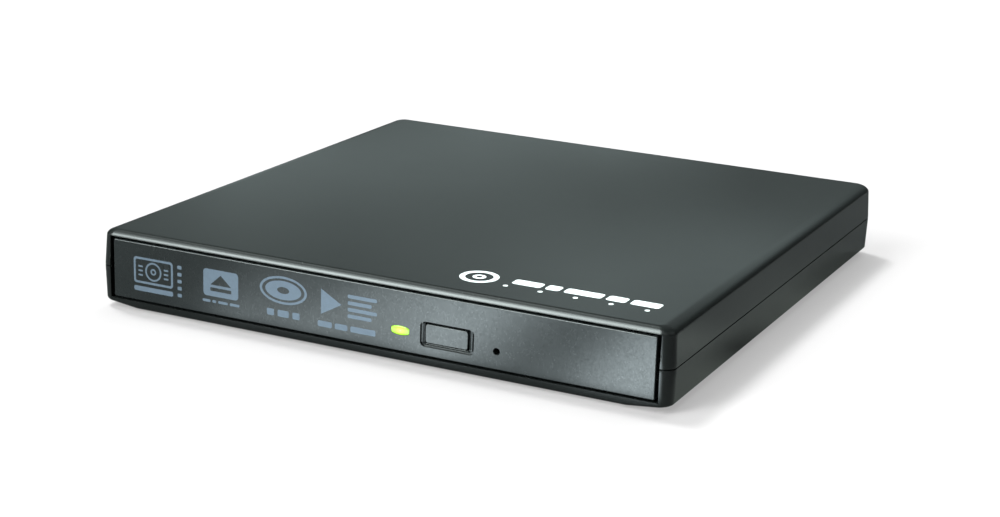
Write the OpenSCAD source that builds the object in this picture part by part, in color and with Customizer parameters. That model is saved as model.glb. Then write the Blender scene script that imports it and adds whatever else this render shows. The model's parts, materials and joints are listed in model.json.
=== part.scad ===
// Slim external optical drive: a two-part case around a tray-loading drive.
// Millimetres. +Z up, front towards -Y. The origin is the centre of the
// footprint on the surface that the feet stand on.
// Name endings: _w width, _d depth, _h height, _t thickness, _r radius;
// _x0, _y0 and _z0 are the low side of a piece, _x1, _y1 and _z1 the high side.

/* [Case] */
// Width of the case
case_w = 137; // [136:0.5:141]
// Depth of the case
case_d = 136; // [135.5:0.5:140]
// Height of the two shells without the feet
case_h = 17.1; // [17:0.1:18.5]
// Height of the seam above the underside
seam_h = 8.62; // [8.3:0.02:9]
// Width of the seam groove
seam_gap = 0.1; // [0.06:0.02:0.2]
// Thickness of the side and rear walls
wall_t = 1.8; // [1.6:0.1:2]
// Thickness of the top and the floor
skin_t = 1.5; // [1.3:0.1:1.5]
// Radius of the upright corners
corner_r = 2.75; // [2:0.25:4]
// Radius of the rounded top edge
top_r = 1.7; // [1:0.1:1.9]
// Inward lean of the upper walls
draft_top = 0.35; // [0.1:0.05:0.5]
// Inward lean of the lower walls
draft_low = 0.21; // [0.05:0.02:0.4]
// Rise of the underside at the left and right edges
under_rise = 1.2; // [0.4:0.1:1.4]
// Distance from each side edge at which the underside starts to rise
under_run = 11; // [8:0.5:12]

/* [Feet] */
// How far the feet stand proud
foot_h = 0.9; // [0.5:0.1:2]
// Radius of a foot
foot_r = 4.5; // [3:0.25:5]
// Depth of the pocket that holds a foot
foot_pocket = 0.5; // [0.3:0.1:0.7]

/* [Front opening] */
// Half width of the opening
opening_half_w = 65.65; // [65.3:0.05:65.8]
// Bottom of the opening above the underside
opening_z0 = 1.53; // [1.4:0.01:1.7]
// Height of the opening
opening_h = 14; // [13.8:0.05:14.2]

/* [Bezel] */
// Half width of the bezel
bezel_half_w = 65; // [64.5:0.1:65.2]
// Bottom of the bezel
bezel_z0 = 2.77; // [2.6:0.01:2.9]
// Top of the bezel
bezel_z1 = 16.05; // [15.9:0.01:16.2]
// How far the bezel face sits behind the case front
bezel_y0 = 0.3; // [0.1:0.05:0.5]
// Thickness of the bezel plate
bezel_t = 2.2; // [1.8:0.1:2.3]
// Width of the bevel around the bezel face
bezel_bevel = 0.25; // [0.1:0.05:0.4]

/* [Button and light] */
// Left edge of the button
button_x0 = 13.65; // [13.4:0.05:13.9]
// Width of the button
button_w = 9.85; // [9:0.05:9.9]
// Bottom edge of the button
button_z0 = 5.72; // [5.6:0.02:5.9]
// Height of the button
button_h = 4.05; // [3.6:0.05:4.1]
// Gap around the button
button_gap = 0.13; // [0.08:0.01:0.2]
// Width of the sloping frame around the button
button_frame = 1; // [0.6:0.1:1.1]
// Centre of the activity light from the middle of the case
led_x = 7.75; // [7.4:0.05:8.1]
// Height of the centre of the activity light
led_z = 7.38; // [7.2:0.02:7.6]
// Width of the activity light
led_w = 4.4; // [3.5:0.1:4.6]
// Height of the activity light
led_h = 2.55; // [2:0.05:2.7]
// Distance of the emergency hole from the middle of the case
emergency_x = 30.15; // [29.8:0.05:30.6]
// Height of the emergency hole
emergency_z = 6.72; // [6.5:0.02:6.9]
// Radius of the emergency hole
emergency_r = 0.725; // [0.6:0.025:0.8]

/* [Drive chassis] */
// Half width of the chassis over its side walls
chassis_half_w = 63.5; // [63.4:0.1:63.6]
// Thickness of the sheet metal
sheet_t = 0.5; // [0.4:0.05:0.5]
// Distance from the case front to the back of the chassis
chassis_y1 = 127.3; // [127:0.1:127.4]

/* [Tray and rails] */
// Half width of the tray
tray_half_w = 62.6; // [62.3:0.1:62.6]
// Distance from the case front to the back edge of the tray
tray_y1 = 125; // [120:0.5:125]
// Radius of the recess for a 120 mm disc
disc_r = 60.5; // [60.3:0.1:60.6]
// Radius of the recess for an 80 mm disc
small_disc_r = 41; // [40.5:0.1:42]
// Height of the tray rim
rim_z = 13.4; // [12.8:0.1:13.6]
// Length of a rail
rail_len = 115; // [100:1:115]

/* [Spindle and pickup] */
// Distance from the case front to the spindle axis
spindle_y = 64.6; // [64.5:0.1:64.8]
// Radius of the hub that centres a disc
hub_r = 7.35; // [7.2:0.05:7.4]
// Height at which a disc rests
seat_z = 11.9; // [11.8:0.1:12.2]
// Radius of the turntable
table_r = 16; // [15:0.25:16]
// Distance from the spindle axis to the lens with the pickup parked
lens_x = 23; // [23:0.5:25]
// Radius of a guide rod
rod_r = 1; // [0.9:0.05:1]
// Radius of the lead screw
lead_r = 1; // [0.8:0.05:1]
// Running clearance of the rods and shafts
run_gap = 0.05; // [0.03:0.01:0.08]

/* [Latch] */
// Distance of the hook pivot from the middle of the case
hook_x = 35.3; // [35.2:0.1:35.5]
// Distance from the case front to the hook pivot
hook_y = 13; // [12.8:0.1:13.2]
// Angle between the released and the latched hook
hook_deg = 30; // [28:1:32]

/* [Hidden] */
$fn = 64;

// Case, in the case frame
half_w = case_w / 2;
half_d = case_d / 2;
under_z = foot_h;                  // underside
seam_z = under_z + seam_h;
upper_z0 = seam_z + seam_gap / 2;  // lower edge of the top shell
lower_z1 = seam_z - seam_gap / 2;  // upper edge of the bottom shell
top_z = under_z + case_h;
floor_z = under_z + skin_t;        // inner faces
roof_z = top_z - skin_t;
inner_x = half_w - wall_t;
front_t = 3.9;                     // depth of the front rim around the opening
boss_x = 57;                       // case screw bosses
boss_y = half_d - 5;
boss_r = 2.6;
lip_x = inner_x - 0.15;            // outer face of the locating lip
lip_t = 0.8;
foot_x = 52;
foot_y = 54;

// The drive rides up with the underside; its own heights are for feet 0.9 high
drive_lift = foot_h - 0.9;
drive_floor = floor_z - drive_lift;  // case floor in the drive frame

// Bridge electronics, in the drive frame
bridge_z1 = 5;                     // top of the board
bridge_part_z = bridge_z1 + 0.02;  // parts on the board
bridge_post_x = [-40, 28.3];
bridge_post_y = case_d - 4.8;
usb_x = -33.15;
usb_z = 6.97;
jack_x = 23;
jack_z = 7.2;
sata_x = -8;

// Chassis and cover
chassis_y0 = 4.6;
chassis_z0 = 3.1;
chassis_z1 = 15.1;
chassis_floor = chassis_z0 + sheet_t;
floor_part_z = chassis_floor + 0.05;  // parts on the chassis floor
guide_x1 = chassis_half_w - sheet_t - 0.05;  // outer face of a rail guide
cover_t = 0.5;
cover_half_w = chassis_half_w + cover_t;
cover_y1 = chassis_y1 + cover_t;
cover_z0 = 15.3;
cover_z1 = cover_z0 + cover_t;
rear_screw_x = 46;
rear_screw_z = 11.5;
side_screw_y = 98;
side_screw_z = 12;
main_board_z1 = 5.2;
main_part_z = main_board_z1 + 0.02;
ejector_x = 50;
ejector_z = 6.25;
pin_x = 27.3;                      // latch pin
pin_y = 15;

// Tray and the parts it carries
tray_y0 = 3.7;
tray_z0 = 9.3;
tray_join_z = tray_z0 + 0.1;       // top of features that hang from the tray
switch_x = 19;
switch_z = 7.9;
switch_post_x = [5.6, 24];
switch_post_y = 11.4;
solenoid_x = 39.5;
solenoid_z = 6.6;
led_arc_r = (pow(led_w * 0.62, 2) + pow(led_h / 2, 2)) / led_h;

// Spindle and pickup, in the pickup frame
table_z = seat_z - 0.7;            // the rubber ring stands on this face
rod_y = [-12, 15];                 // guide rods
rod_z = 6.6;
lead_y = 19.5;                     // lead screw
lead_z = 6.9;
lugs = [[-20, 0], [30, -17.3], [40, 25.5]];  // x, y of the frame mounts

// ---- Helpers ----
// Box from its low and high sides
module box(x0, x1, y0, y1, z0, z1)
    translate([x0, y0, z0]) cube([x1 - x0, y1 - y0, z1 - z0]);
// Table of boxes; columns: x0, x1, y0, y1, z0, z1
module boxes(table)
    for (b = table) box(b[0], b[1], b[2], b[3], b[4], b[5]);
// Boxes standing at one height; columns: x0, x1, y0, y1, top
module chips(table, z0)
    for (c = table) box(c[0], c[1], c[2], c[3], z0, c[4]);
// Cylinders from a point, along +z, +x and +y
module post(start, r, h) translate(start) cylinder(r = r, h = h);
module bar_x(start, r, len) translate(start) rotate([0, 90, 0]) cylinder(r = r, h = len);
module bar_y(start, r, len) translate(start) rotate([-90, 0, 0]) cylinder(r = r, h = len);
module ring(outer_r, inner_r, z0, z1) difference() {
    post([0, 0, z0], outer_r, z1 - z0);
    post([0, 0, z0 - 1], inner_r, z1 - z0 + 2);
}
// Crossed slots in a screw head
module cross_slot(half_len, half_w, z0, z1)
    for (angle = [0, 90]) rotate([0, 0, angle]) box(-half_len, half_len, -half_w, half_w, z0, z1);
// Coil: turns of round wire joined by a thin bar
module coil(coil_r, wire_d, turns, height) {
    pitch = (height - wire_d) / (turns - 1);
    for (k = [0:turns - 1]) translate([0, 0, wire_d / 2 + k * pitch])
        rotate_extrude() translate([coil_r, 0]) circle(r = wire_d / 2, $fn = 24);
    translate([coil_r - wire_d * 0.35, -wire_d * 0.35, wire_d / 2])
        cube([wire_d * 0.7, wire_d * 0.7, height - wire_d]);
}

// y counts from the case front, x from the middle
module from_front() translate([0, -half_d, 0]) children();
// Drive frame: as from_front, at the height of the drive
module drive() translate([0, -half_d, drive_lift]) children();
// Pickup frame: x runs from the spindle axis along the pickup's path, y across it
module pickup() drive() translate([0, spindle_y, 0]) rotate([0, 0, 225]) children();
module at_lens() pickup() translate([lens_x, 0, 0]) children();
// Right and left copies
module both_sides() for (side = [0, 1]) mirror([side, 0, 0]) children();
// Evenly turned copies about z
module around(count) for (k = [0:count - 1]) rotate([0, 0, k * 360 / count]) children();
module at_feet(z) for (sx = [-1, 1], sy = [-1, 1])
    translate([sx * foot_x, sy * foot_y, z]) children();
module at_bosses(z = 0) both_sides() translate([boss_x, boss_y, z]) children();
module at_snaps() both_sides() for (y = [30, 92]) from_front() translate([0, y, 0]) children();
module at_lugs(z = 0) for (l = lugs) translate([l[0], l[1], z]) children();

// ---- Case ----
module corner_posts(inset, z, r, h) for (sx = [-1, 1], sy = [-1, 1])
    translate([sx * (half_w - inset - corner_r), sy * (half_d - inset - corner_r), z])
        cylinder(r = r, h = h, $fn = 32);

module front_cut() from_front()
    box(-opening_half_w, opening_half_w, -1, front_t,
        under_z + opening_z0, under_z + opening_z0 + opening_h);

module top_shell() color("#26292a") {
    difference() {
        hull() {
            corner_posts(0.02, upper_z0, corner_r, 0.2);
            for (angle = [0, 30, 60, 90])
                corner_posts(draft_top,
                    top_z - top_r + top_r * sin(angle) - (angle == 90 ? 0.02 : 0),
                    corner_r - top_r * (1 - cos(angle)), 0.02);
        }
        box(-inner_x, inner_x, -half_d + front_t, half_d - wall_t, 0, roof_z);
        front_cut();
        at_snaps() box(inner_x - 0.1, inner_x + 0.35, -3.3, 3.3, seam_z + 0.3, seam_z + 1.1);
    }
    at_bosses() difference() {
        post([0, 0, upper_z0], boss_r, roof_z - seam_z);
        post([0, 0, seam_z - 1], 1.02, 6);
    }
    // hold-down ribs
    both_sides() from_front() box(55, 56, 12, 120, cover_z1 + 0.05 + drive_lift, roof_z + 0.2);
}

module screw_head_recess() post([0, 0, under_z - 1], 2.15, 2.6);

// Hollow of the bottom shell; its floor rises towards the sides
module lower_cavity() translate([0, half_d - wall_t, 0]) rotate([90, 0, 0])
    linear_extrude(case_d - wall_t - front_t)
        polygon([
            [-inner_x, top_z], [-inner_x, floor_z + 0.8], [-inner_x + 8.7, floor_z],
            [inner_x - 8.7, floor_z], [inner_x, floor_z + 0.8], [inner_x, top_z]]);

module bottom_shell() color("#232627") {
    lip_z0 = floor_z + 0.9;
    flat_x = half_w - under_run;
    flat_y = half_d - draft_low;
    difference() {
        hull() {
            corner_posts(0.02, lower_z1 - 0.2, corner_r, 0.2);
            corner_posts(draft_low, under_z + under_rise, corner_r, 0.1);
            box(-flat_x, flat_x, -flat_y, flat_y, under_z + 0.5, under_z + 0.6);
            box(-flat_x, flat_x, -flat_y + 0.5, flat_y - 0.5, under_z, under_z + 0.1);
        }
        lower_cavity();
        front_cut();
        at_feet(under_z - 1) cylinder(r = foot_r + 0.2, h = 1 + foot_pocket);
        at_bosses() screw_head_recess();
        at_bosses(under_z) cylinder(r = 1.15, h = 5);
        // rear ports
        drive() box(usb_x - 4.25, usb_x + 4.25, case_d - 3, case_d + 1, 4.6, 9.3);
        drive() bar_y([jack_x, case_d - 3, jack_z], 2.06, 4);
    }
    at_bosses() difference() {
        post([0, 0, floor_z - 0.1], boss_r, lower_z1 - floor_z + 0.1);
        cylinder(r = 1.15, h = 20);
        screw_head_recess();
    }
    at_snaps() box(lip_x - 0.1, lip_x + 0.3, -3, 3, seam_z + 0.45, seam_z + 0.9);
    both_sides() from_front() {
        // root of the locating lip, then the lip
        box(lip_x - lip_t, inner_x + 0.05, front_t + 0.05, case_d - wall_t + 0.05,
            lip_z0, lower_z1);
        box(lip_x - lip_t, lip_x, front_t + 0.2, case_d - wall_t - 0.2, lip_z0, seam_z + 1.1);
        // floor ribs under the chassis; columns: x, front end
        for (rib = [[9, 10], [39, 26]])
            box(rib[0], rib[0] + 1, rib[1], 118, floor_z - 0.1, chassis_z0 - 0.03 + drive_lift);
    }
    // blocks behind the chassis
    both_sides() drive() box(45, 47, 127.95, case_d - wall_t + 0.1, drive_floor - 0.1, 8);
    // posts of the bridge board
    drive() for (x = bridge_post_x) {
        post([x, bridge_post_y, drive_floor - 0.1], 1.2, 4.08 - drive_floor);
        post([x, bridge_post_y, 3.9], 0.6, 1.5);
    }
}

module rubber_feet() color("#15171a") at_feet(0) rotate_extrude()
    polygon([
        [0, 0.15], [foot_r - 1.6, 0.15], [foot_r - 1.3, 0],
        [foot_r - 0.35, 0], [foot_r, 0.35],
        [foot_r, foot_h + foot_pocket - 0.02], [0, foot_h + foot_pocket - 0.02]]);

module case_screws() color("#1c1c1e") at_bosses(under_z + 0.4) difference() {
    union() {
        cylinder(r = 1.95, h = 1.2);
        cylinder(r = 0.98, h = 12.2);
    }
    cross_slot(1.1, 0.25, -0.1, 0.7);
}

// ---- Bridge electronics behind the drive ----
module bridge_board() color("#14603c") drive() difference() {
    box(-42, 30.2, 128.6, case_d - 2.1, 4, bridge_z1);
    for (x = bridge_post_x) post([x, bridge_post_y, 3], 0.66, 3);
}

module bridge_chips() color("#1b1b1d") drive() {
    chips([[9.5, 14.3, 128.8, 133.6, 6.1], [15.2, 18.4, 130, 131.6, 6]], bridge_part_z);
    for (x = [-27, -24.6]) post([x, 131.4, bridge_part_z], 1, 2.4);
    for (k = [0:4]) box(-22 + k * 2.4, -21 + k * 2.4, 132.4, 132.9, bridge_part_z, 5.5);
}

// Outline of the USB socket, drawn in by an inset
module usb_profile(inset) polygon([
    [-3.85 + inset, 1.95 - inset],
    [-3.85 + inset, -0.3 + inset * 0.4],
    [-3.1 + inset * 0.8, -1.1 + inset * 0.2],
    [-3.1 + inset * 0.8, -1.95 + inset],
    [3.1 - inset * 0.8, -1.95 + inset],
    [3.1 - inset * 0.8, -1.1 + inset * 0.2],
    [3.85 - inset, -0.3 + inset * 0.4],
    [3.85 - inset, 1.95 - inset]]);
// Bar of that outline running forward from y
module usb_bar(inset, y, len)
    translate([0, y, 0]) rotate([90, 0, 0]) linear_extrude(len) usb_profile(inset);

module usb_socket_shell() color("#c9ccce") drive() translate([usb_x, 0, usb_z]) difference() {
    usb_bar(0, case_d - 0.5, 6.7);
    usb_bar(0.3, case_d, 6.8);
}

module usb_socket_insert() color("#18181a") drive() translate([usb_x, 0, usb_z]) {
    usb_bar(0.36, case_d - 5.2, 1.5);
    box(-2.1, 2.1, case_d - 5.3, case_d - 1.4, 0.1, 1.0);
    for (k = [-2:2])
        box(k * 0.8 - 0.2, k * 0.8 + 0.2, case_d - 5.3, case_d - 1.7, -0.02, 0.2);
}

module dc_jack_body() color("#1a1a1c") drive() difference() {
    union() {
        box(jack_x - 3, jack_x + 3, 128.9, case_d - wall_t - 0.1, bridge_part_z, 9.3);
        bar_y([jack_x, case_d - wall_t - 0.2, jack_z], 1.98, 1.6);
    }
    bar_y([jack_x, 130.2, jack_z], 1.7, 10);
}

module dc_jack_pin() color("#d8d2c0") drive() {
    bar_y([jack_x, 130.22, jack_z], 0.65, 4.7);
    bar_y([jack_x, 130.22, jack_z], 1.3, 0.5);
}

module sata_socket() color("#17171a") drive() difference() {
    box(sata_x - 14, sata_x + 14, 126.3, 131.6, 5.03, 9.4);
    box(sata_x - 12.2, sata_x + 12.2, 126, 129.5, 6.4, 8);
}

// ---- Drive: fixed parts ----
// Opening for the SATA connector in a rear wall
module sata_opening(z0) box(sata_x - 16, sata_x + 16, chassis_y1 - 2, chassis_y1 + 2, z0, 10.2);

// Holes that the chassis and the cover share
module wall_holes() both_sides() {
    bar_y([rear_screw_x, 120, rear_screw_z], 0.86, 10);
    bar_x([60, side_screw_y, side_screw_z], 0.86, 10);
    for (y = [30, 84]) bar_x([60, y, 12.4], 1.3, 6);
}

module drive_chassis() color("#b4b8ba") drive() difference() {
    union() {
        box(-chassis_half_w, chassis_half_w, chassis_y0, chassis_y1, chassis_z0, chassis_floor);
        both_sides() box(chassis_half_w - sheet_t, chassis_half_w,
            chassis_y0, chassis_y1, chassis_z0, chassis_z1);
        box(-chassis_half_w, chassis_half_w,
            chassis_y1 - sheet_t, chassis_y1, chassis_z0, chassis_z1);
        // drawn ribs in the floor
        both_sides() for (y = [96, 104, 112])
            box(8, 36, y, y + 2, chassis_floor - 0.05, chassis_floor + 0.35);
    }
    sata_opening(chassis_floor);
    wall_holes();
    both_sides() for (y = [20, 70]) post([50, y, 2], 1.5, 3);
    post([pin_x, pin_y, 2], 0.8, 3);
}

module drive_cover() color("#bfc3c4") drive() difference() {
    union() {
        box(-cover_half_w, cover_half_w, 4.2, cover_y1, cover_z0, cover_z1);
        both_sides() box(chassis_half_w + 0.05, cover_half_w, 4.2, cover_y1, 9, cover_z0 + 0.1);
        box(-cover_half_w, cover_half_w, chassis_y1 + 0.05, cover_y1, 9, cover_z0 + 0.1);
        // raised ring above the spindle
        translate([0, spindle_y, 0]) ring(42, 40, cover_z1 - 0.1, cover_z1 + 0.3);
    }
    sata_opening(3);
    wall_holes();
}

module cover_screw() difference() {
    union() {
        cylinder(r = 1.5, h = 0.6);
        post([0, 0, -1.4], 0.8, 1.5);
    }
    cross_slot(0.9, 0.2, 0.25, 1);
}
module cover_screws() color("#8d9092") drive() both_sides() {
    translate([rear_screw_x, cover_y1 + 0.02, rear_screw_z]) rotate([-90, 0, 0]) cover_screw();
    translate([cover_half_w + 0.02, side_screw_y, side_screw_z])
        rotate([0, 90, 0]) cover_screw();
}

module rail_guide() boxes([
    [61.3, guide_x1, 6, 124, floor_part_z, 9],
    [59.7, 61.4, 6, 124, 6.2, 8],
    [57.2, 61.4, 124.05, 126.2, floor_part_z, 9],
    [61.3, guide_x1, 124, 126.2, floor_part_z, 9]]);
module left_rail_guide() color("#d9dad6") drive() mirror([1, 0, 0]) rail_guide();
module right_rail_guide() color("#d9dad6") drive() rail_guide();

module main_board() color("#116241") drive() difference() {
    box(-54, 45, 88, 125.8, 4.4, main_board_z1);
    for (x = [-50, 41], y = [91, 122]) post([x, y, 4], 1.1, 2);
    box(sata_x - 16, sata_x + 16, 124.9, 127, 4, 6);
}

module main_board_chips() color("#1a1b1d") drive() {
    chips([
        [-8, 6, 98, 112, 6.5], [14, 22, 100, 112, 6.4],
        [26, 34, 96, 104, 6.4], [-40, -30, 100, 110, 6.5],
        [-25, -5, 88.3, 91.2, 6.9], [12, 30, 89, 91.5, 6.7]], main_part_z);
    for (x = [-22, -17], y = [104, 109]) post([x, y, main_part_z], 1.6, 2.6);
    for (k = [0:6]) box(-46 + k * 3, -45 + k * 3, 114, 114.6, main_part_z, 5.7);
    for (k = [0:5]) box(12 + k * 3, 13 + k * 3, 115, 115.6, main_part_z, 5.7);
}

// Flat cable seen from the side: fixed run on the floor, one fold, and the run
// under the pickup frame; columns: y, z
flex_outline = [
    [88.2, 5.75], [86, 5.75], [82.5, 3.67], [22, 3.67], [21.8, 3.75],
    [21.8, 4.02], [22, 4.1], [70, 4.1], [70, 3.96], [22.4, 3.96],
    [22.2, 3.88], [22.4, 3.82], [82.4, 3.82], [85.9, 5.9], [88.2, 5.9]];
module flex_cable() color("#e9e6da") drive()
    translate([-24, 0, 0]) rotate([90, 0, 90]) linear_extrude(18) polygon(flex_outline);

module sata_plug() color("#141416") drive() {
    box(sata_x - 14.6, sata_x + 14.6, 118.6, 124.8, main_part_z, 9.15);
    box(sata_x - 12, sata_x + 12, 124.7, 129.2, 6.55, 7.85);
}

module latch_pin() color("#a9adb0") drive() translate([pin_x, pin_y, 0]) {
    post([0, 0, 3.15], 0.78, 1);
    post([0, 0, 3.62], 1.2, 4.6);
}

module ejector_housing() color("#2a2c2f") drive() difference() {
    box(ejector_x - 3.8, ejector_x + 3.8, 102, 124.5, floor_part_z, 8.8);
    bar_y([ejector_x, 103.5, ejector_z], 2.15, 25);
    bar_y([ejector_x, 101, ejector_z], 1.25, 5);
}

module ejector_plunger() color("#d5d6d2") drive() {
    bar_y([ejector_x, 100, ejector_z], 1.15, 6);
    bar_y([ejector_x, 103.7, ejector_z], 2.0, 0.8);
    bar_y([ejector_x, 104, ejector_z], 1.0, 7);
}

module ejector_spring() color("#c3c6c8") drive() translate([ejector_x, 104.6, ejector_z])
    rotate([-90, 0, 0]) coil(coil_r = 1.6, wire_d = 0.4, turns = 9, height = 19.5);

// ---- Rails ----
module rail() difference() {
    rail_y0 = 8;
    rail_y1 = rail_y0 + rail_len;
    boxes([
        [58.6, 59.4, rail_y0, rail_y1, 5.2, 9],
        [59.3, 61, rail_y0, rail_y1, 5.2, 6],
        [59.3, 61, rail_y0, rail_y1, 8.2, 9]]);
    for (y = [16, 106]) bar_x([57, y, 7.1], 0.9, 3);
}
module left_rail() color("#8f9496") drive() mirror([1, 0, 0]) rail();
module right_rail() color("#8f9496") drive() rail();

// ---- Tray ----
// Area around the spindle and the pickup's path, drawn in by an inset
module path_area(inset, z0, z1) intersection() {
    pickup() {
        box(4, 64.8 - inset, -13.8 + inset, 22.6 - inset, z0, z1);
        post([0, 0, z0], 18.4 - inset, z1 - z0);
    }
    drive() box(-56 + inset, 56 - inset, 5.6 + inset, 110, z0 - 1, z1 + 1);
}

module disc_tray() color("#1d1f21") {
    difference() {
        drive() box(-tray_half_w, tray_half_w, tray_y0, tray_y1, tray_z0, rim_z);
        drive() post([0, spindle_y, table_z], disc_r, 10);
        drive() post([0, spindle_y, table_z - 0.5], small_disc_r, 10);
        path_area(0, 10.15, 20);
        path_area(1.2, 9, 20);
        // finger scallops in the front corners and eased rear corners
        both_sides() drive() post([53, 12, table_z], 8, 10);
        both_sides() drive() translate([tray_half_w, tray_y1, 9]) rotate([0, 0, 45])
            box(-2.6, 2.6, -2.6, 2.6, 0, 6);
        pickup() at_lugs(9) cylinder(r = 0.78, h = 1.4);
    }
    // runners that enter the rails
    both_sides() drive() {
        box(56, 58.4, 6, 122, 4.2, tray_join_z);
        box(58.3, 60.5, 6, 122, 4.2, 5);
    }
    // bosses for the traverse screws
    pickup() at_lugs() difference() {
        post([0, 0, 8], 2.6, 1.4);
        post([0, 0, 7], 0.78, 4);
    }
    drive() {
        // hook pivot and switch board posts
        post([hook_x, hook_y, 4.6], 1, 4.8);
        for (x = switch_post_x) post([x, switch_post_y, 5.2], 0.8, 4.2);
        // block in front of the ejector, and a wall beside the solenoid
        box(ejector_x - 2.5, ejector_x + 2.5, 97.6, 99.9, 4.3, tray_join_z);
        box(43.6, 44.6, 17, 31, 6, tray_join_z);
    }
}

// Sloping frame and opening for the button
module button_window() {
    x0 = button_x0 - button_gap;
    x1 = button_x0 + button_w + button_gap;
    z0 = button_z0 - button_gap;
    z1 = button_z0 + button_h + button_gap;
    hull() {
        box(x0 - button_frame, x1 + button_frame, bezel_y0 - 0.2, bezel_y0 - 0.1,
            z0 - button_frame * 0.5, z1 + button_frame * 0.5);
        box(x0, x1, bezel_y0 + 0.5, bezel_y0 + 0.6, z0, z1);
    }
    box(x0, x1, -1, 5, z0, z1);
}

// Lens-shaped bar of the activity light, grown by a gap
module led_bar(gap, len) translate([led_x, 0, led_z]) rotate([-90, 0, 0])
    linear_extrude(len) intersection() {
        translate([0, led_arc_r - led_h / 2]) circle(r = led_arc_r + gap);
        translate([0, led_h / 2 - led_arc_r]) circle(r = led_arc_r + gap);
        square([led_w + 2 * gap, 2 * led_h], center = true);
    }

module front_bezel() color("#33373a") drive() difference() {
    plate_y1 = bezel_y0 + bezel_t;
    face_half_w = bezel_half_w - bezel_bevel;
    rim_half_w = bezel_half_w - 1.4;
    union() {
        hull() {
            box(-face_half_w, face_half_w, bezel_y0, bezel_y0 + 0.1,
                bezel_z0 + bezel_bevel, bezel_z1 - bezel_bevel);
            box(-bezel_half_w, bezel_half_w, bezel_y0 + bezel_bevel, plate_y1,
                bezel_z0, bezel_z1);
        }
        // rim behind the plate
        difference() {
            box(-bezel_half_w, bezel_half_w, bezel_y0 + 1, 3.3, bezel_z0, bezel_z1);
            box(-rim_half_w, rim_half_w, plate_y1, 4, bezel_z0 + 1.4, bezel_z1 - 1.4);
        }
        // tongues under the tray
        both_sides() box(47, 53, bezel_y0 + 1, 8, 7.9, 9.2);
        both_sides() box(48, 52, 7, 8, 7.2, 8);
    }
    button_window();
    translate([0, -1, 0]) led_bar(0.06, 5);
    bar_y([emergency_x, -1, emergency_z], emergency_r, 5);
}

module led_lens() color("#c8f03c") drive() translate([0, bezel_y0 - 0.05, 0]) led_bar(0, 4.3);

module activity_led() color("#e8f5b0") drive() {
    box(led_x - 1.1, led_x + 1.1, 5.1, 6.6, 6.42, 8.6);
    box(led_x - 0.8, led_x + 0.8, 4.75, 5.2, 6.9, 8.2);
}

module switch_board() color("#14603c") drive() difference() {
    box(4, 25.6, 4.8, 13, 5.6, 6.4);
    for (x = switch_post_x) post([x, switch_post_y, 5], 0.86, 2);
}

module eject_switch() color("#202124") drive() difference() {
    box(switch_x - 3, switch_x + 3, 6.2, 9.6, 6.42, 9.2);
    bar_y([switch_x, 5, switch_z], 1.1, 2.6);
}

module traverse_frame() color("#5d6163") pickup() difference() {
    union() {
        boxes([
            // plate, its part behind the spindle, and the upright end
            [2, 64.4, -13.5, 21, 4.2, 5], [-13.8, 4, -9, 9, 4.2, 5],
            [62.6, 64.4, -13.4, 21, 4.2, 8.9],
            // blocks that hold the guide rods
            [9, 12, -13.5, -10.5, 4.2, 8.4], [9, 12, 13.4, 16.5, 4.2, 8.4],
            // arms to the bushes
            [-17.6, -12.6, -3, 3, 4.2, 5.2], [-17.2, -15.9, -3, 3, 4.2, 6.75],
            [27, 33, -15.2, -13.4, 4.2, 5], [27, 33, -15.2, -13.75, 4.2, 6.75],
            [37, 43, 20.2, 23.2, 4.2, 5], [37, 43, 21.6, 23.2, 4.2, 6.75]]);
        post([0, 0, 4.2], 12.2, 0.6);
        at_lugs(5.65) cylinder(r = 3.4, h = 1.1);
    }
    boxes([
        [14.5, 61, -10.6, 12.4, 4, 6],
        [4, 19.6, 16.4, 23, 4, 6],
        [21, 61, 17.4, 20.2, 4, 6]]);
    for (y = rod_y) bar_x([8, y, rod_z], rod_r + 0.02, 60);
    bar_x([60, lead_y, lead_z], lead_r + run_gap, 6);
    // bush holes, and room for the bush flanges
    at_lugs(4) cylinder(r = 2, h = 6);
    at_lugs(4) cylinder(r = 3, h = 1.6);
}

module traverse_bushes() color("#3a3d42") pickup() at_lugs() difference() {
    union() {
        post([0, 0, 4.5], 2.8, 1.1);
        post([0, 0, 4.5], 1.95, 3.4);
        post([0, 0, 6.8], 2.8, 1.1);
    }
    post([0, 0, 4], 0.95, 5);
}

module traverse_screws() color("#a8abad") pickup() at_lugs() difference() {
    union() {
        post([0, 0, 3.95], 1.9, 0.5);
        post([0, 0, 3.95], 0.75, 6);
    }
    cross_slot(1, 0.2, 3.9, 4.2);
}

module spindle_stator() color("#7b7f80") pickup() {
    // base disc
    difference() {
        post([0, 0, 5.02], 11.5, 0.38);
        post([0, 0, 4], 3.12, 3);
    }
    // core with nine arms and their curved ends
    difference() {
        union() {
            ring(5.2, 3.15, 5.9, 7.1);
            around(9) box(4.8, 10, -0.6, 0.6, 5.9, 7.1);
            intersection() {
                ring(10.4, 9.6, 5.9, 7.1);
                around(9) box(8, 12, -2.5, 2.5, 5, 8);
            }
        }
        post([0, 0, 5], 3.15, 3);
    }
    // pillars between the two
    around(3) post([4.2, 0, 5.2], 0.7, 0.75);
}

module stator_coils() color("#b5702e") pickup() around(9) difference() {
    box(6.3, 9.3, -1.35, 1.35, 5.45, 7.55);
    box(6, 9.6, -0.65, 0.65, 5.85, 7.15);
}

module spindle_bearing() color("#a5773c") pickup() ring(3.08, 1 + run_gap, 5.04, 8.6);

module guide_rods() color("#d3d6d8") pickup()
    for (y = rod_y) bar_x([9.2, y, rod_z], rod_r, 55);

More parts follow.
